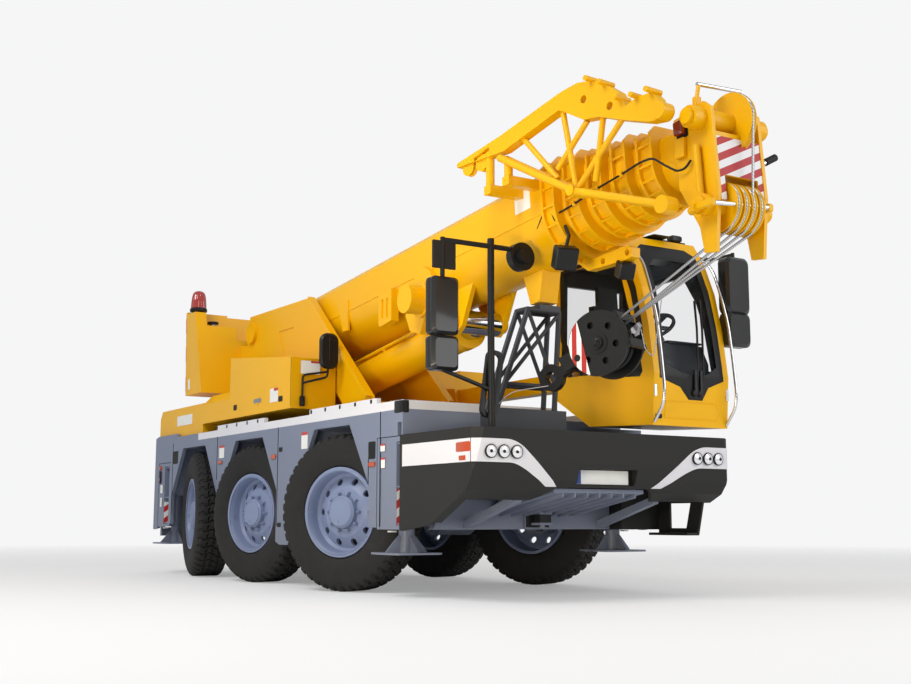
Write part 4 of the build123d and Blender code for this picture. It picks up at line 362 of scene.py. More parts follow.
def tyre_skin(centre, outward):
    """Tyre with block tread: over turn a and section s, r(a, s) = wall(s) - GROOVE g(a, s). g is 1 in the cross
    grooves, where the fraction of (a PITCHES / 2 pi + slant(s)) falls in the gap, and in the three grooves
    round the crown that weave by 7 mm sin(a PITCHES); it fades to 0 down the wall."""
    half = np.array(WALL, float)
    inset = np.concatenate([half[:, 0], (TYRE_SPAN[1] - TYRE_SPAN[0]) - half[-2::-1, 0]])
    radius = np.concatenate([half[:, 1], half[-2::-1, 1]])
    across = inset - (TYRE_SPAN[1] - TYRE_SPAN[0]) / 2
    turn = 2 * pi * np.arange(PITCHES * SAMPLES) / (PITCHES * SAMPLES)
    a, s = np.meshgrid(turn, across, indexing="ij")
    wall = np.broadcast_to(radius, a.shape)
    row_shift = np.where(np.abs(s) > 90, 0.0, np.where(s > 0, 0.35, 0.7))
    slant = np.abs(s) / 210.0 + row_shift
    part = np.mod(a * PITCHES / (2 * pi) + slant, 1.0)
    lug_gap = (part < np.where(np.abs(s) > 130, 0.42, 0.22)).astype(float)
    weave = 7.0 * np.sin(a * PITCHES)
    ring_gap = (np.abs(np.abs(s + weave) - 68) < 5.5) | (np.abs(s + weave) < 4.5)
    fade = np.clip((wall - 640.0) / 12.0, 0, 1)
    depth = GROOVE * np.maximum(lug_gap, ring_gap) * fade
    r = wall - depth
    side = np.cross(outward, (0, 0, 1))
    out = (s + sum(TYRE_SPAN) / 2)[..., None] * outward
    ring = np.cos(a)[..., None] * np.array((0, 0, 1.0)) + np.sin(a)[..., None] * side
    points = centre + out + r[..., None] * ring
    rows, columns = s.shape
    return points.reshape(-1, 3), [lattice(rows, columns, round_rows=True)]


for axle, axle_x, steer in AXLES:
    for side_name, side in SIDES:
        centre = np.array((axle_x, side * KINGPIN_Y, TYRE_RADIUS))
        turn = radians(steer)
        outward = np.array((-side * sin(turn), side * cos(turn), 0.0))
        body = f"wheel_{axle}_{side_name}"
        tread = piece(f"tread_{axle}_{side_name}", [tyre_skin(centre, outward)], tyre_rubber, body,
                      sharp=28.0)
        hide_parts(f"tyre_{axle}_{side_name}")
        fittings = []
        ahead = np.cross(outward, (0, 0, 1))
        for k in range(10):
            a = 2 * pi * (k + 0.5) / 10
            spot = centre + NUT_RING * (cos(a) * np.array((0, 0, 1.0)) + sin(a) * ahead)
            fittings.append(lathe(((24, 0), (24, 4), (17, 6), (17, 26), (14, 30), (10, 30), (10, 42), (7, 44)),
                                  spot + (NUT_FACE - 4) * outward, outward, 6))
        fittings.append(lathe(((122, 0), (122, 4), (116, 6), (112, 3), (1, 3)), centre + 285 * outward, outward, 40))
        fittings.append(lathe(((14, 0), (14, 7), (9, 9), (1, 9)),
                              centre + 284 * outward + 84 * (0.35 * ahead - 0.94 * np.array((0, 0, 1.0))), outward, 12))
        piece(f"nuts_{axle}_{side_name}", fittings, rim_enamel, body)
        rings = [ring(((369, 0), (371, 5), (364, 9), (358, 5), (360, 0)), centre + 296 * outward, outward, 72),
                 lathe(((6, 0), (6, 34), (4, 38), (1, 38)),
                       centre + 262 * outward + 322 * ahead, outward + 0.3 * ahead, 10)]
        piece(f"rim_trim_{axle}_{side_name}", rings, rim_enamel, body)

# ---------------------------------------------------------------- bumper
FACE = ((830.0, 2532.0), (911.0, 2594.0), (1041.0, 2632.0), (1288.0, 2666.0))
BUMPER_HALF = 1265.0
STRIPE_TOP = 1206.0
STRIPE_BOTTOM = 1035.0
SKIN = 4.0


def face_x(z):
    """X of the bumper's front over height: straight lines between the profile's corners."""
    heights, depths = zip(*FACE)
    return np.interp(z, heights, depths)


def on_bumper(path, side):
    """Film points from (distance y, height): x on the front face, y kept, a skin's thickness out."""
    y, z = np.asarray(path, float).T
    corner = 2676.0 - (y - 1177.0) * 80.0 / 98.0
    x = np.minimum(face_x(z), corner)
    return np.stack([x + SKIN, side * (y + SKIN * 0.6), z], -1)


for side_name, side in SIDES:
    high = rounded(((BUMPER_HALF - 0.5, STRIPE_TOP), (1205, STRIPE_TOP), (940, STRIPE_TOP), (840, 1168),
                    (466, 865)), 90)
    low = rounded(((BUMPER_HALF - 0.5, STRIPE_BOTTOM), (1205, STRIPE_BOTTOM), (900, STRIPE_BOTTOM), (790, 990),
                   (569, 865)), 90)
    flank_x = np.linspace(1606, 2603, 6)
    flank_y = np.full(6, side * (BUMPER_HALF + SKIN))
    flat, faces = sheet(dense(low, 6), dense(high, 6), 25)
    shells = [(on_bumper(flat, side), faces),
              sheet(np.stack([flank_x, flank_y, np.full(6, STRIPE_BOTTOM)], -1),
                    np.stack([flank_x, flank_y, np.full(6, STRIPE_TOP)], -1))]
    piece(f"bumper_stripe_{side_name}", shells, white_enamel, "carrier")
    rims, lenses = [], []
    for lamp_y in (893.0, 1008.0, 1122.0):
        front = face_x(1113.0 + 45.0) + 10
        rims.append(ring(((44, -14), (51, -14), (51, 3), (49, 5), (46, 5), (44, 2)), (front, side * lamp_y, 1113),
                         (1, 0, 0)))
        lenses.append(lathe(((44, 0), (44, 5), (38, 9), (22, 13), (1, 15)), (front, side * lamp_y, 1113), (1, 0, 0)))
        rims.append(lathe(((13, 14), (13, 17), (9, 18), (1, 18)), (front, side * (lamp_y + 8), 1113), (1, 0, 0), 16))
    piece(f"lamp_rims_{side_name}", rims, seal_rubber, "carrier")
    piece(f"lamp_lenses_{side_name}", lenses, lamp_glass, "carrier")
    chamfer_x = np.array((2400.0, 2420.0, 2588.0, 2604.0, 2632.0))
    chamfer_y = side * (BUMPER_HALF + np.array((3.0, 7.0, 7.0, 4.0, -28.0)) )
    turn_edges = [np.stack([chamfer_x, chamfer_y, np.full(5, z)], -1) for z in (1106.0, 1112.0, 1180.0, 1186.0)]
    blinker = [sheet(turn_edges[1], turn_edges[2], 3),
               brick((2420, *sorted((side * (BUMPER_HALF - 4), side * (BUMPER_HALF + 9)))[:1], 1110),
                     (2592, sorted((side * (BUMPER_HALF - 4), side * (BUMPER_HALF + 9)))[1], 1184), 5),
               brick((2446, sorted((side * (BUMPER_HALF - 4), side * (BUMPER_HALF + 7)))[0], 1046),
                     (2540, sorted((side * (BUMPER_HALF - 4), side * (BUMPER_HALF + 7)))[1], 1084), 4)]
    piece(f"blinkers_{side_name}", blinker, orange_lens, "carrier")
piece("number_plate", [prism(round_rectangle(520, 110, 8), (2538, -5, 945), (0, 1, 0), (0, 0, 1), 5, 1)],
      sticker_film, "carrier")
piece("plate_end", [prism(round_rectangle(44, 104, 4), (2543.5, -240, 945), (0, 1, 0), (0, 0, 1), 1.2)],
      plate_blue, "carrier")
piece("plate_frame", [sweep(rounded(((2543, -268, 948), (2543, -268, 1003), (2543, 258, 1003), (2543, 258, 887),
                                     (2543, -268, 887), (2543, -268, 948)), 8, 3), 4.5, 6)], seal_rubber, "carrier")
piece("tow_pin", [sweep(rounded(((1735, 0, 700), (1735, 0, 762), (1760, 90, 772)), 18), 9, 8),
                  lathe(((26, 0), (26, 12), (12, 14)), (1735, 0, 716), (0, 0, 1), 20)]
      + [lathe(((11, 0), (11, 9), (6, 11)), (1665, y, z), (1, 0, 0), 6) for y in (-105, 105) for z in (572, 686)],
      black_enamel, "carrier")
piece("coupling_cover", [brick((1664, -118, 556), (1668, 118, 702), 2), brick((1666, -60, 576), (1786, 60, 682), 12)],
      black_enamel, "carrier")

# ---------------------------------------------------------------- carrier sides
PANEL = 1240.0
# film, painted shade for the openings, and small lamps on the right flank: (x low, x high, z low, z high)
FILMS = ((-2405, -2265, 1268, 1400), (-340, -205, 1266, 1420), (1195, 1272, 1172, 1232), (1205, 1274, 1036, 1120),
         (-4280, -4200, 930, 1030), (-4275, -4215, 770, 880))
BANDS = ((-2405, -2265, 1376, 1400), (-340, -205, 1392, 1420), (1195, 1272, 1218, 1232), (1205, 1274, 1104, 1120))
SHADE_PATCHES = ((985, 1108, 1118, 1262), (-846, -764, 1263, 1306), (-852, -765, 549, 590), (-3862, -3700, 1262, 1408))
AMBER = ((-2420, -2306, 1206, 1240), (-1013, -908, 1200, 1243), (1003, 1109, 1052, 1092))
# slots in the low rail strips, shown on the right as patches of painted shade, first and last place along X
SLOT_RUNS = ((-139.0, 1022.0), (-2485.0, -1380.0))


def flank(rows, depth, bevel, side=RIGHT):
    """Plates flat on a flank, from rows of (x low, x high, z low, z high)."""
    return [prism(round_rectangle(x_high - x_low, z_high - z_low, min(8, (z_high - z_low) / 4), 3),
                  ((x_low + x_high) / 2, side * (PANEL + 0.6), (z_low + z_high) / 2),
                  (-side, 0, 0), (0, 0, 1), depth, bevel)
            for x_low, x_high, z_low, z_high in rows]


for side_name, side in SIDES:
    piece(f"flank_films_{side_name}", flank(FILMS, 1.0, 0, side), sticker_film, "carrier")
    piece(f"flank_bands_{side_name}", flank(BANDS, 1.8, 0, side), sticker_red, "carrier")
    # painted shade: flat near-black patches stand for the shade inside the flank openings
    piece(f"flank_painted_shade_{side_name}", flank(SHADE_PATCHES, 1.5, 0, side), black_rubber_and_painted_shade, "carrier")
    piece(f"flank_amber_{side_name}", flank(AMBER, 12, 4, side), orange_lens, "carrier")
    slots = []
    for start, stop in SLOT_RUNS:
        for x in np.linspace(start, stop, 5):
            low_y, high_y = sorted((side * (PANEL - 4), side * (PANEL + 2)))
            slots.append(brick((x - 17, low_y, 1588), (x + 17, high_y, 1636 if side > 0 else 1634), 4))
    if side == RIGHT:
        # painted shade: flat near-black patches for the shade inside the rail slots
        piece("rail_slot_shade_right", [prism(round_rectangle(32, 34, 6, 3), (x, -PANEL - 0.6, 1597), (1, 0, 0),
                                         (0, 0, 1), 1.5) for start, stop in SLOT_RUNS
                                   for x in np.linspace(start, stop, 5)], black_rubber_and_painted_shade, "carrier")
    deck_low, deck_high = sorted((side * (PANEL - 60), side * (PANEL + 5)))
    corner_x = (1418, 1566) if side == RIGHT else (1180, 1276)
    piece(f"rail_cap_{side_name}", [brick((corner_x[0], deck_low, 1462), (corner_x[1], deck_high, 1580), 14)],
          black_enamel, "carrier")
# seams between the flank panels, as dark lines: (x, z low, z high)
SEAMS = ((-2466, 1040, 1500), (-870, 560, 1500), (985, 905, 1118), (1190, 560, 1500), (-3874, 700, 1500))
for side_name, side in SIDES:
    seams = [(x - 2.5, x + 2.5, low, high) for x, low, high in SEAMS if side < 0 or not 900 < x < 1300]
    piece(f"flank_seams_{side_name}", flank(seams, 0.8, 0, side), black_rubber_and_painted_shade, "carrier")

# outrigger covers: striped strips, rear lamps, scale marks
hazard = striped("hazard_film", (0.0, 5.2, -7.4), 1000.0, "C8322C", "F0F0EE", 0.1)
for end, box_x, wall_x, z_low, z_high in (("front", 1337.0, 1455.0, 566, 862), ("rear", -4150.0, -4157.0, 562, 828)):
    for side_name, side in SIDES:
        body = f"outrigger_{end}_{side_name}"
        piece(f"strip_{end}_{side_name}",
              [prism(round_rectangle(82, z_high - z_low, 4, 3), (wall_x + 1, side * 1190, (z_low + z_high) / 2),
                     (0, 1, 0), (0, 0, 1), 2)], hazard, body)
        marks = [brick((box_x - 26 + 9 * k, *sorted((side * 1180, side * 1232))[:1], 518),
                       (box_x - 22 + 9 * k, sorted((side * 1180, side * 1232))[1], 530), 1) for k in range(7)]
        piece(f"marks_{end}_{side_name}", marks, sticker_film, body)
for side_name, side in SIDES:
    y = side * 1236
    lamps = [lathe(((26, 0), (26, 14), (20, 20), (1, 22)), (-4296, y, z), (0, side, 0), 24) for z in (1228,)]
    piece(f"rear_marker_{side_name}", lamps, orange_lens, f"outrigger_rear_{side_name}")
    housing = [prism(round_rectangle(58, 150, 26), (-4296, y, 1120), (-side, 0, 0), (0, 0, 1), 16, 4)]
    piece(f"rear_lamp_base_{side_name}", housing, seal_rubber, f"outrigger_rear_{side_name}")
    piece(f"rear_lamp_{side_name}", [prism(round_rectangle(34, 34, 10), (-4296, side * 1252, z), (-side, 0, 0),
                                           (0, 0, 1), 4, 1.5) for z in (1094,)], red_lens, f"outrigger_rear_{side_name}")


# ---------------------------------------------------------------- superstructure
CABINET = -1200.0
HOOD_SIDE = -1190.0


def right_wall(y, rows, depth, bevel=0.0, radius=6.0):
    """Plates on a wall that faces right at y, from rows of (x low, x high, z low, z high)."""
    return [prism(round_rectangle(x_high - x_low, z_high - z_low, min(radius, (z_high - z_low) * 0.49), 4),
                  ((x_low + x_high) / 2, y - 0.6, (z_low + z_high) / 2), (1, 0, 0), (0, 0, 1), depth, bevel)
            for x_low, x_high, z_low, z_high in rows]


piece("cabinet_squares", right_wall(CABINET, ((-2134, -2044, 1760, 1818), (-976, -876, 1760, 1814)), 2, 0.6, 12),
      black_rubber_and_painted_shade, "superstructure")
piece("cabinet_latch", right_wall(CABINET, ((-1590, -1402, 1790, 1836),), 5, 2, 20), zinc_plate, "superstructure")
piece("cabinet_latch_bowl", [lathe(((52, 0), (52, 3), (44, 4), (1, 4)), (-1496, CABINET, 1813), (0, -1, 0), 30)],
      yellow_enamel, "superstructure")
piece("cabinet_films", right_wall(CABINET, ((-1182, -990, 1768, 1904),), 1), sticker_film, "superstructure")
piece("cabinet_bands", right_wall(CABINET, ((-1090, -990, 1876, 1904),), 1.8), sticker_red, "superstructure")
piece("cabinet_seams", right_wall(CABINET, ((-700, -694, 1690, 2168),), 0.8), black_rubber_and_painted_shade, "superstructure")
piece("front_film", [prism(round_rectangle(205, 130, 6), (-688, -998, 2082), (0, 1, 0), (0, 0, 1), 1.2)],
      sticker_film, "superstructure")
piece("front_film_band", [prism(round_rectangle(96, 20, 3), (-686.6, -946, 2136), (0, 1, 0), (0, 0, 1), 1)],
      sticker_red, "superstructure")
piece("hood_film", right_wall(HOOD_SIDE, ((-3905, -3405, 1706, 1822),), 1.2), sticker_film, "carrier")

arm_path = rounded(((-680, -1084, 1740), (-676, -1084, 2004), (-640, -830, 2046), (-604, -852, 2110)), 40)
brace_path = rounded(((-678, -1083, 1925), (-640, -1000, 1950), (-612, -850, 1990), (-602, -850, 2120)), 40)
piece("side_mirror_arm", [sweep(arm_path, 11), sweep(brace_path, 11), brick((-690, -1112, 1700), (-664, -1058, 1800), 8)],
      black_enamel, "superstructure")
head_rim = round_rectangle(196, 350, 78, 8)
piece("side_mirror_head", [prism(head_rim, (-622, -850, 2243), (0, 1, 0), (0, 0, 1), 58, 16),
                           prism(round_rectangle(26, 250, 12), (-564, -850, 2243), (0, 1, 0), (0, 0, 1), 9, 4)],
      seal_rubber, "superstructure")
piece("beacon_base", [lathe(((98, 0), (100, 8), (100, 30), (92, 40), (84, 44)), (-3560, -1100, 3034), (0, 0, 1), 48),
                      lathe(((60, -4), (60, 4), (1, 5)), (-3560, -1100, 3032), (0, 0, 1), 24)],
      seal_rubber, "superstructure")
turn = 2 * pi * np.arange(96) / 96
dome = np.array(((88, 42), (88, 60), (84, 120), (78, 176), (68, 214), (50, 236), (26, 246), (2, 248)), float)
flute = 1.0 + 0.035 * np.cos(12 * turn)[None, :] * (dome[:, :1] > 30)
dome_points = np.stack([-3560 + dome[:, :1] * flute * np.cos(turn), -1100 + dome[:, :1] * flute * np.sin(turn),
                        3034 + dome[:, 1:] + 0 * turn], -1)
piece("beacon_dome", [closed_tube(dome_points)], beacon_lens, "superstructure")
piece("beacon_lamp", [lathe(((30, 44), (30, 120), (22, 150), (1, 156)), (-3560, -1100, 3034), (0, 0, 1), 20)],
      zinc_plate, "superstructure")
piece("filler_cap", [lathe(((40, 0), (40, 30), (24, 34), (24, 44), (1, 46)), (-3500, -940, 2852), (0, 0, 1), 28)],
      zinc_plate, "superstructure")
piece("filler_knob", [lathe(((64, 40), (66, 48), (66, 62), (56, 68), (1, 70)), (-3500, -940, 2852), (0, 0, 1), 10)],
      seal_rubber, "superstructure")
tail_film = striped("tail_film", (0.0, 0.9, 2.9), 1000.0, "D2495A", "F2EDEE")
tail_low = np.array(((-3648.5, -1193, 2060), (-3648.5, -1040, 2060)))
tail_high = np.array(((-3705.5, -1193, 2995), (-3705.5, -1040, 2995)))
piece("tail_stripes", [sheet(tail_low, tail_high, 4), sheet(tail_low * (1, -1, 1), tail_high * (1, -1, 1), 4)],
      tail_film, "superstructure")
edge_low = np.array(((-3646, -1197, 2060), (-3634, -1197, 2060)))
edge_high = np.array(((-3703, -1197, 2995), (-3690, -1197, 2995)))
piece("tail_edges", [sheet(edge_low, edge_high, 4), sheet(edge_low * (1, -1, 1), edge_high * (1, -1, 1), 4)],
      tail_film, "superstructure")
piece("weight_film", [prism(((-3560, 2110), (-3500, 2110), (-3508, 2228), (-3568, 2228)), (0, -1196, 0), (1, 0, 0),
                            (0, 0, 1), 1)], sticker_film, "superstructure")
# hoses between the cheeks and down to the turntable
HOSES = (((-2300, -140, 2250), (-2050, -120, 2420), (-1700, -100, 2330), (-1500, -90, 2120), (-1380, -60, 1780)),
         ((-2300, -360, 2250), (-2050, -380, 2400), (-1750, -400, 2290), (-1560, -470, 2050), (-1480, -500, 1780)))
piece("cheek_hoses", [sweep(rounded(path, 160, 8), 13) for path in HOSES], black_rubber_and_painted_shade, "superstructure")

# ---------------------------------------------------------------- boom
BOOM_ANGLE = radians(5.1)
PIVOT = np.array((-2900.0, -250.0, 2790.0))
BOOM_WAY = np.array((cos(BOOM_ANGLE), 0.0, sin(BOOM_ANGLE)))
BOOM_UP = np.array((-sin(BOOM_ANGLE), 0.0, cos(BOOM_ANGLE)))
BOOM_SIDE = -340.0


def boom_points(rows):
    """Points from (along, up, y) in the boom's measures: pivot + along W + up U + y across."""
    along, up, y = np.asarray(rows, float).T
    return PIVOT + along[:, None] * BOOM_WAY + up[:, None] * BOOM_UP + y[:, None] * np.array((0.0, 1.0, 0.0))


def boom_plate(rows, y, depth, radius=6.0, bevel=0.0):
    """Plates on the boom's right side at y, from rows of (along low, along high, up low, up high)."""
    return [prism(round_rectangle(high - low, top - bottom, min(radius, (top - bottom) * 0.49), 4),
                  boom_points([((low + high) / 2, (bottom + top) / 2, y)])[0], BOOM_WAY, BOOM_UP, depth, bevel)
            for low, high, bottom, top in rows]


piece("boom_film", boom_plate(((5120, 5330, -215, 5),), BOOM_SIDE - 1, 1.2), sticker_film, "boom")
piece("boom_film_band", boom_plate(((5236, 5330, -40, 5),), BOOM_SIDE - 2, 1.2), sticker_red, "boom")
VENT_FACE = -566.0
# painted shade: near-black patches for the vent slots and short bars at their ends
vent_shade = [prism(round_rectangle(38, 176, 17), (x, VENT_FACE - 1, 2570), (1, 0, 0), (0, 0, 1), 1.5) for x in (140, 230)]
vent_shade += [brick((x - 22, VENT_FACE - 2, z), (x + 22, VENT_FACE + 1, z + 7), 1) for x in (140, 230) for z in (2672, 2460)]
piece("vent_slot_shade", vent_shade, black_rubber_and_painted_shade, "boom")
piece("boom_seam", boom_plate(((40, 5560, -296, -292), (40, 5560, -306, -303)), BOOM_SIDE - 0.4, 3.5, 2),
      yellow_enamel, "boom")
# work lamps under the mouth: (along, up, y, half size)
WORK_LAMPS = ((5766, -753, -370, 88), (6005, -870, 0, 64))
shells = []
for along, up, y, half in WORK_LAMPS:
    centre = boom_points([(along, up, y)])[0]
    way = unit(np.array((0.86, -0.25, -0.45)))
    across = unit(np.cross((0, 0, 1), way))
    tall = np.cross(way, across)
    shells += [prism(round_rectangle(2 * half, 2 * half, 16), centre - way * 60, across, tall, 104, 10),
               prism(round_rectangle(1.2 * half, 1.2 * half, 16), centre - way * 120, across, tall, 70, 16)]
shells += [sweep(boom_points(((5766, -700, -370), (5740, -560, -300), (5700, -470, -300))), 14, 8),
           sweep(boom_points(((6005, -830, 0), (5990, -760, 0))), 14, 8)]
piece("work_lamps", shells, seal_rubber, "boom")
piece("lamp_cable", [sweep(rounded(boom_points(((5450, -430, -380), (5520, -300, -352), (5600, -330, -352),
                                                (5640, -420, -352))), 60, 8), 4, 6)], black_rubber_and_painted_shade, "boom")

# ---------------------------------------------------------------- boom head
piece("head_lamp", [prism(round_rectangle(80, 100, 10), boom_points([(6968, -150, -232)])[0], BOOM_WAY, BOOM_UP, 50, 8)],
      red_lens, "head")
piece("head_lamp_frame", boom_plate(((6912, 7024, -216, -84),), -228, 10, 8, 3), seal_rubber, "head")
piece("head_tube", [sweep(boom_points(((7120, -330, -262), (7120, -720, -262))), 24, 20),
                    brick((4008, -512, 3052), (4098, -478, 3192), 6)], yellow_enamel, "head")
guard_high = rounded(((4152, -420, 3452), (4152, -405, 3566), (4152, -24, 3582), (4150, -40, 3490)), 10, 4)
piece("guard_frame", [brick((4128, -452, 3330), (4172, -404, 3470), 6), brick((4128, -62, 3340), (4172, -16, 3520), 6),
                      sweep(((4150, -428, 3460), (4150, -408, 3562)), 15, 10),
                      sweep(((4150, -38, 3500), (4150, -22, 3582)), 15, 10)], yellow_enamel, "head")
piece("guard_bars", [sweep(((4152, -424, 3562), (4152, -8, 3584)), 15, 14),
                     sweep(((4100, -446, 3400), (4100, -150, 3440)), 12, 14),
                     sweep(((4424, -560, 2652), (4424, -78, 2684)), 17, 14)], bright_steel, "head")
piece("guard_ears", [brick((4290, -600, 2626), (4442, -560, 2680), 8), brick((4290, -78, 2656), (4442, -36, 2712), 8),
                     sweep(((4210, -560, 2640), (4300, -590, 2640)), 30, 16)], yellow_enamel, "head")
piece("side_bar", [sweep(((4250, -92, 2966), (4250, 108, 3070)), 19, 14)], bright_steel, "head")
piece("side_bar_cap", [sweep(((4250, 100, 3066), (4250, 200, 3118)), 26, 18)], black_rubber_and_painted_shade, "head")
sign_film = striped("sign_film", (0.0, 4.2, -9.1), 1000.0, "B01822", "E6E6E8", 0.32)
SIGN_FACE = 7242.0
sign = [(-198, -288), (198, -288), (198, -735), (152, -735), (152, -558), (-152, -558), (-152, -735), (-198, -735)]
sign_origin = boom_points([(SIGN_FACE + 1.0, 0, 0)])[0]
piece("sign_face", [prism(sign, sign_origin, (0, 1, 0), BOOM_UP, 1.5)], sign_film, "head")
# hose along the collars: (along, up, y)
hose = rounded(boom_points(((5720, -380, -362), (5900, -395, -400), (6200, -350, -380), (6450, -320, -352),
                            (6640, -290, -332), (6740, -290, -312), (6830, -370, -300), (6930, -450, -274),
                            (7000, -450, -262), (7040, -400, -244))), 60, 8)
piece("collar_hose", [sweep(hose, 8, 8)], black_rubber_and_painted_shade, "head")
HOSE_CLIPS = ((5950, -385, -396), (6205, -348, -380), (6450, -320, -352))
piece("hose_clips", [lathe(((17, -12), (19, 0), (17, 12)), boom_points([clip])[0], (0.9, 0, 0.35), 14)
                     for clip in HOSE_CLIPS], yellow_enamel, "head")

TOP_SHEAVE = (7140.0, -140.0, 225.0)
LOW_SHEAVE = (7140.0, -750.0, 172.0)
LOW_SHEAVES = (-105.0, -35.0, 35.0, 105.0)
ROPE = 9.5


def wrap(centre, radius, y, start, stop, steps=22):
    """Rope round a sheave: centre + r (cos a, 0, sin a) in degrees from start to stop, at a distance y."""
    a = np.radians(np.linspace(start, stop, steps))
    return np.stack([centre[0] + radius * np.cos(a), np.full(steps, centre[1] + y), centre[2] + radius * np.sin(a)], -1)


top_centre = boom_points([(TOP_SHEAVE[0], TOP_SHEAVE[1], 0)])[0]
low_centre = boom_points([(LOW_SHEAVE[0], LOW_SHEAVE[1], 0)])[0]
over_top = wrap(top_centre, TOP_SHEAVE[2] - 6, 55, 96, 10)
lead = boom_points(((300, 60, 30), (6700, 78, 55)))
fall = np.array(((low_centre[0] + 150, low_centre[1] + 35, low_centre[2] + 60),))
piece("hoist_rope", [sweep(np.concatenate([over_top, fall, wrap(low_centre, 162, 35, 4, -36, 8)]), ROPE, 10)],
      wire_rope, "head")

# ---------------------------------------------------------------- mirror covers
def mirror_cover(x, y, low, high, wide, corner):
    """Rounded shell over a mirror head: its front outline swept through the depth, with soft edges."""
    return prism(round_rectangle(wide, high - low + 36, corner, 8), (x - 66, y, (low + high) / 2),
                 (0, 1, 0), (0, 0, 1), 132, 24)


piece("front_mirror_covers", [mirror_cover(2400, -1387, 1991, 2392, 235, 36), mirror_cover(2400, -1387, 1725, 1949, 235, 36)],
      glossy_cover, "carrier")
piece("cab_mirror_covers", [mirror_cover(2680, 1334, 2350, 2800, 270, 56), mirror_cover(2680, 1334, 2070, 2330, 270, 56)],
      glossy_cover, "cab")

# ---------------------------------------------------------------- hook block
HOOK = np.array((2918.0, -250.0, 1925.0))
HOOK_YAW, HOOK_TILT = radians(23.0), radians(25.0)
HOOK_LEVEL = np.array((cos(HOOK_YAW), sin(HOOK_YAW), 0.0))
HOOK_SIDE = np.array((sin(HOOK_YAW), -cos(HOOK_YAW), 0.0))
HOOK_WAY = HOOK_LEVEL * cos(HOOK_TILT) + np.array((0.0, 0.0, sin(HOOK_TILT)))
HOOK_UP = np.cross(HOOK_SIDE, HOOK_WAY)


def hook_point(along, up, offset):
    """Place in the hook block's measures: centre + along W + up U + offset across."""
    return HOOK + along * HOOK_WAY + up * HOOK_UP + offset * HOOK_SIDE


def rope_tangent(x, z):
    """Touching point on the lower sheaves of a rope from (x, z): the angle to it plus that of the tangent."""
    dx, dz = x - low_centre[0], z - low_centre[2]
    reach = hypot(dx, dz)
    around = LOW_SHEAVE[2] + 2.0
    lean = atan2(dz, dx) + atan2(sqrt(reach ** 2 - around ** 2), around)
    return low_centre[0] + around * cos(lean), low_centre[2] + around * sin(lean), np.degrees(lean)


falls = []
for along, up, offset, y in ((150, 90, -66, LOW_SHEAVES[3]), (150, 60, 0, LOW_SHEAVES[2]),
                             (150, 60, 0, LOW_SHEAVES[1]), (150, 90, 66, LOW_SHEAVES[0])):
    start = hook_point(along, up, offset)
    x, z, lean = rope_tangent(start[0], start[2])
    over = wrap(low_centre, np.interp(np.linspace(0, 150, 22), (0, 20), (LOW_SHEAVE[2] + 2, 162)), y, lean, lean + 150)
    falls.append(sweep(np.concatenate([[start], over]), ROPE, 10))
piece("rope_falls", falls, wire_rope, "head")
socket = hook_point(300, -40, 66)
aim = unit(np.array((low_centre[0], low_centre[1] - 105, low_centre[2])) - socket)
piece("wedge_socket", [prism(((-40, -34), (60, -16), (60, 16), (-40, 34)), socket - 16 * HOOK_SIDE, aim,
                             unit(np.cross(HOOK_SIDE, aim)), 32, 4),
                       lathe(((26, -24), (26, 24)), socket - 22 * aim, HOOK_SIDE, 20)]
      + [lathe(((12, 0), (12, 26), (6, 28)), socket - 20 * aim + k * 24 * HOOK_UP, -HOOK_SIDE, 12) for k in (-1, 1)],
      zinc_plate, "head")
block_film = striped("block_film", tuple(12.2 * HOOK_LEVEL), 1000.0, "B02A22", "EDEDEA", 0.1)
quadrant = np.radians(np.linspace(110, 230, 28))
film = np.stack([246 * np.cos(quadrant), 246 * np.sin(quadrant)], -1)
piece("block_film", [prism(film, HOOK + 136.5 * HOOK_SIDE, HOOK_WAY, HOOK_UP, 1.2)], block_film, "head")
piece("block_plug", [lathe(((26, 0), (26, 4), (20, 5), (1, 4)), hook_point(-200, -20, 137), HOOK_SIDE, 24)],
      black_rubber_and_painted_shade, "head")
piece("block_bolts", [lathe(((30, 0), (30, 6), (22, 10), (22, 26), (1, 28)), hook_point(0, 0, s * 165), s * HOOK_SIDE, 24)
                      for s in (-1, 1)]
      + [lathe(((14, 0), (14, 10), (1, 12)), hook_point(222, up, s * 130), s * HOOK_SIDE, 6)
         for s in (-1, 1) for up in (110, -110)], black_enamel, "head")
tie = rounded((hook_point(-520, -60, 0), (2300, -700, 1600), (2200, -780, 1480)), 80, 10)
piece("tie_wire", [sweep(tie, 4, 6)], wire_rope, "head")
slack = rounded((hook_point(330, -60, 66), hook_point(300, -230, 90), hook_point(330, -300, 70),
                 hook_point(560, 60, 40)), 120, 10)
piece("safety_wire", [sweep(slack, 3.5, 6)], wire_rope, "head")

# ---------------------------------------------------------------- cab
CAB_RIGHT, CAB_LEFT = 393.0, 1200.0
# front of the cab from the floor up: (height, x)
CAB_FRONT = ((1365.0, 2690.0), (1780.0, 2720.0), (2170.0, 2665.0), (2500.0, 2590.0), (2790.0, 2470.0),
             (2975.0, 2345.0))


def cab_x(z):
    """X of the cab's front over height: straight lines between the profile's corners."""
    heights, depths = zip(*CAB_FRONT)
    return np.interp(z, heights, depths)


def on_cab(path, out=3.0):
    """Film points from (y, height): x on the cab's front, a little way out."""
    y, z = np.asarray(path, float).T
    return np.stack([cab_x(z) + out, y, z], -1)


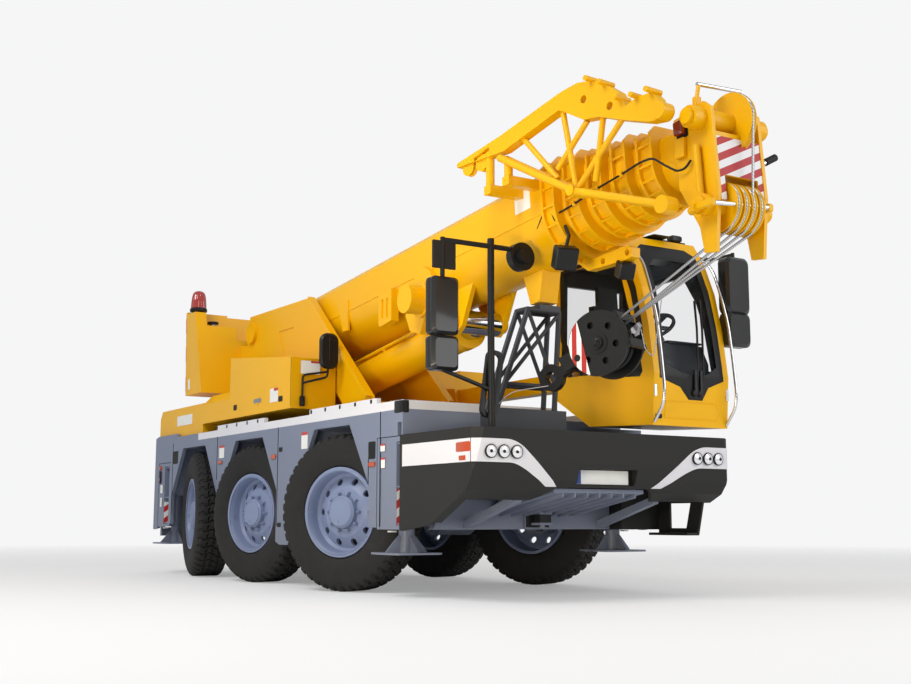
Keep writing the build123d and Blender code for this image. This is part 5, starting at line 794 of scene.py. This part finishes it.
SCREEN_OUTER = ((452, 1745), (672, 1682), (768, 1582), (912, 1582), (976, 1688), (1142, 1750), (1127, 2848),
                (1040, 2903), (560, 2903), (477, 2850), (452, 1745))
SCREEN_INNER = ((520, 1860), (690, 1800), (800, 1776), (890, 1776), (975, 1802), (1076, 1862), (1062, 2700),
                (990, 2772), (620, 2772), (548, 2700), (520, 1860))
band, faces = sheet(dense(SCREEN_OUTER, 10), dense(SCREEN_INNER, 10), 6)
piece("screen_band", [(on_cab(band), faces)], seal_rubber, "cab")
pentagon = ((690, 1700), (772, 1592), (908, 1592), (966, 1696), (900, 1790), (780, 1790), (690, 1700))
piece("wiper_panel", [sheet(on_cab(dense(pentagon), 5), on_cab(dense(pentagon) * (0.05, 0.05) + (788, 1606), 5), 6)],
      seal_rubber, "cab")
# wipers: (foot y, foot z, tip y, tip z)
WIPERS = ((822, 1640, 930, 2420), (882, 1640, 990, 2440))
shells = []
for foot_y, foot_z, tip_y, tip_z in WIPERS:
    arm = on_cab(dense(((foot_y, foot_z), (tip_y, tip_z)), 16), 24)
    blade = on_cab(dense(((tip_y - 66, tip_z - 520), (tip_y, tip_z)), 16), 14)
    shells += [sweep(arm, 7, 8), sweep(blade, 7, 6),
               lathe(((30, -16), (30, 14), (22, 24), (1, 26)), (cab_x(foot_z) + 6, foot_y, foot_z), (1, 0, 0), 20),
               brick((cab_x(foot_z + 90) + 6, foot_y - 16, foot_z), (cab_x(foot_z) + 34, foot_y + 24, foot_z + 190), 8)]
piece("wipers", shells, seal_rubber, "cab")
# grab rails up both pillars: (x, z) from the foot
RAIL = ((2695, 1390), (2806, 1526), (2822, 1652), (2790, 1944), (2748, 2229), (2676, 2480), (2600, 2690),
        (2520, 2790))
for name, y in (("right", 408.0), ("left", 1186.0)):
    path = rounded([(x, y, z) for x, z in RAIL], 70, 5)
    piece(f"grab_rail_{name}", [sweep(path, 13, 12)], bright_steel, "cab")
    piece(f"cab_lamp_{name}", [prism(round_rectangle(26, 96, 6), (cab_x(1640) - 2, y, 1640), (0, 1, 0), (0, 0, 1), 14, 4)],
          lamp_glass, "cab")
piece("cab_panel", [sweep(on_cab(rounded(((520, 1560), (508, 1425), (1085, 1425), (1073, 1560), (520, 1560)), 26, 5), 1),
                          4.5, 6)], yellow_enamel, "cab")
# painted shade: a flat near-black patch for the shade in a recess on the cab front
piece("cab_recess_shade", [prism(round_rectangle(70, 46, 14), (cab_x(1440) - 1, 452, 1440), (0, 1, 0), (0, 0, 1), 2)],
      black_rubber_and_painted_shade, "cab")
# black surround of the window in the right wall: (x, z)
SIDE_OUTER = ((1500, 2840), (2290, 2900), (2400, 2760), (2520, 2500), (2590, 2190), (2610, 1960), (2540, 1885),
              (2300, 1850), (1900, 1850), (1700, 1930), (1560, 2060), (1500, 2180), (1500, 2840))
SIDE_INNER = ((1560, 2770), (2250, 2826), (2340, 2720), (2450, 2480), (2520, 2190), (2540, 1985), (2490, 1945),
              (2290, 1915), (1920, 1915), (1740, 1985), (1620, 2090), (1560, 2200), (1560, 2770))
flat = [np.insert(dense(path), 1, CAB_RIGHT - 3, axis=1) for path in (SIDE_OUTER, SIDE_INNER)]
piece("side_window_band", [sheet(flat[0], flat[1], 3)], seal_rubber, "cab")
piece("cab_work_lamps", [brick((2250, 500, 2996), (2330, 610, 3050), 10), brick((2250, 980, 2996), (2330, 1090, 3050), 10),
                         sweep(((2290, 440, 2994), (2290, 1150, 2994)), 9, 8)], seal_rubber, "cab")
piece("roof_film", [prism(round_rectangle(420, 200, 20), (2200, 800, 3001), (1, 0, 0), (0, 1, 0), 6, 2)],
      seal_rubber, "cab")
piece("dash_films", [brick((2455, 690, 2066), (2560, 1070, 2082), 6),
                     brick((2340, 700, 1960), (2352, 1000, 2050), 4)], trim_plastic, "cab")
piece("visor", [prism(((0, 0), (300, 40), (300, 52), (0, 14)), (2100, 1110, 2820), (1, 0, 0), (0, 0, 1), 620, 4)],
      seal_rubber, "cab")
piece("wheel_spinner", [lathe(((18, 0), (20, 16), (14, 44), (1, 48)), (2150, 720, 2290), (-0.4, 0, 0.9), 14)],
      seal_rubber, "cab")

# ---------------------------------------------------------------- camera, floor and light
FRONT_AXLE_X = 0.280
LENS_MM = 48.49
camera_data = bpy.data.cameras.new("camera")
camera_data.lens = LENS_MM
camera_data.sensor_width = 36.0
camera_data.clip_end = 200.0
camera = bpy.data.objects.new("camera", camera_data)
bpy.context.scene.collection.objects.link(camera)
CAMERA_PLACE = (9.8086 + FRONT_AXLE_X, -6.0808, 0.6093)
YAW, PITCH, ROLL = 147.95, 8.295, -0.065
camera.location = CAMERA_PLACE
camera.rotation_euler = (radians(90 + PITCH), radians(ROLL), radians(YAW - 90))
bpy.context.scene.camera = camera

floor_mesh = bpy.data.meshes.new("floor")
SPREAD = 60.0
floor_mesh.from_pydata([(-SPREAD, -SPREAD, 0), (SPREAD, -SPREAD, 0), (SPREAD, SPREAD, 0), (-SPREAD, SPREAD, 0)],
                       [], [(0, 1, 2, 3)])
floor = bpy.data.objects.new("floor", floor_mesh)
bpy.context.scene.collection.objects.link(floor)
floor_material, floor_tree, floor_shader = new_material("studio_floor", "F6F6F6", 0.9)
floor_place = add(floor_tree, "ShaderNodeTexCoord").outputs["Object"]
floor_grain = add(floor_tree, "ShaderNodeTexNoise", {"Scale": 0.8}, {"Vector": floor_place})
floor_seen = add(floor_tree, "ShaderNodeLightPath").outputs["Is Camera Ray"]
floor_tone = blended(floor_tree, floor_grain.outputs["Fac"], "F4F4F4", "F8F8F8")
floor_tree.links.new(blended(floor_tree, floor_seen, floor_tone, "D2D2D2"), floor_shader.inputs["Base Color"])
away = add(floor_tree, "ShaderNodeVectorMath", {"operation": "LENGTH"}, {0: floor_place})
fade = add(floor_tree, "ShaderNodeMapRange", {"From Min": 7.0, "From Max": 22.0, "To Min": 1.0, "To Max": 0.0},
           {"Value": away.outputs["Value"]})
floor_tree.links.new(fade.outputs[0], floor_shader.inputs["Alpha"])
floor_shader.inputs["Emission Color"].default_value = linear("F6F6F6")
floor_glow = add(floor_tree, "ShaderNodeMath", {"operation": "MULTIPLY", 1: 0.3}, {0: floor_seen})
floor_tree.links.new(floor_glow.outputs[0], floor_shader.inputs["Emission Strength"])
floor_mesh.materials.append(floor_material)

world = bpy.data.worlds.new("studio")
bpy.context.scene.world = world
world.use_nodes = True
sky_tree = world.node_tree
sky = sky_tree.nodes["Background"]
sky.inputs["Color"].default_value = linear("FAFAFA")
sky.inputs["Strength"].default_value = 0.55
backdrop = add(sky_tree, "ShaderNodeBackground", {"Color": linear("F6F6F7"), "Strength": 1.0})
seen = add(sky_tree, "ShaderNodeLightPath").outputs["Is Camera Ray"]
chosen = add(sky_tree, "ShaderNodeMixShader", links={0: seen, 1: sky.outputs[0], 2: backdrop.outputs[0]})
sky_tree.links.new(chosen.outputs[0], sky_tree.nodes["World Output"].inputs["Surface"])


def area_lamp(name, place, aim, size, power):
    """Square soft lamp at a place, aimed at a point."""
    lamp = bpy.data.lights.new(name, "AREA")
    lamp.size = size
    lamp.energy = power
    holder = bpy.data.objects.new(name, lamp)
    holder.location = place
    way = np.subtract(aim, place)
    holder.rotation_euler = (atan2(sqrt(way[0] ** 2 + way[1] ** 2), -way[2]), 0, atan2(way[1], way[0]) - pi / 2)
    bpy.context.scene.collection.objects.link(holder)


area_lamp("key", (3, -9, 10), (0, 0, 1.5), 5.0, 760)
area_lamp("fill", (10, 4, 5), (0, 0, 1.5), 6.0, 300)
area_lamp("bounce", (5.2, -6.6, 0.5), (1.4, -0.4, 2.5), 2.0, 34)
bpy.data.lights["bounce"].spread = radians(50)
bpy.data.lights["bounce"].color = (1.0, 0.86, 0.62)
bpy.context.scene.view_settings.view_transform = "Standard"
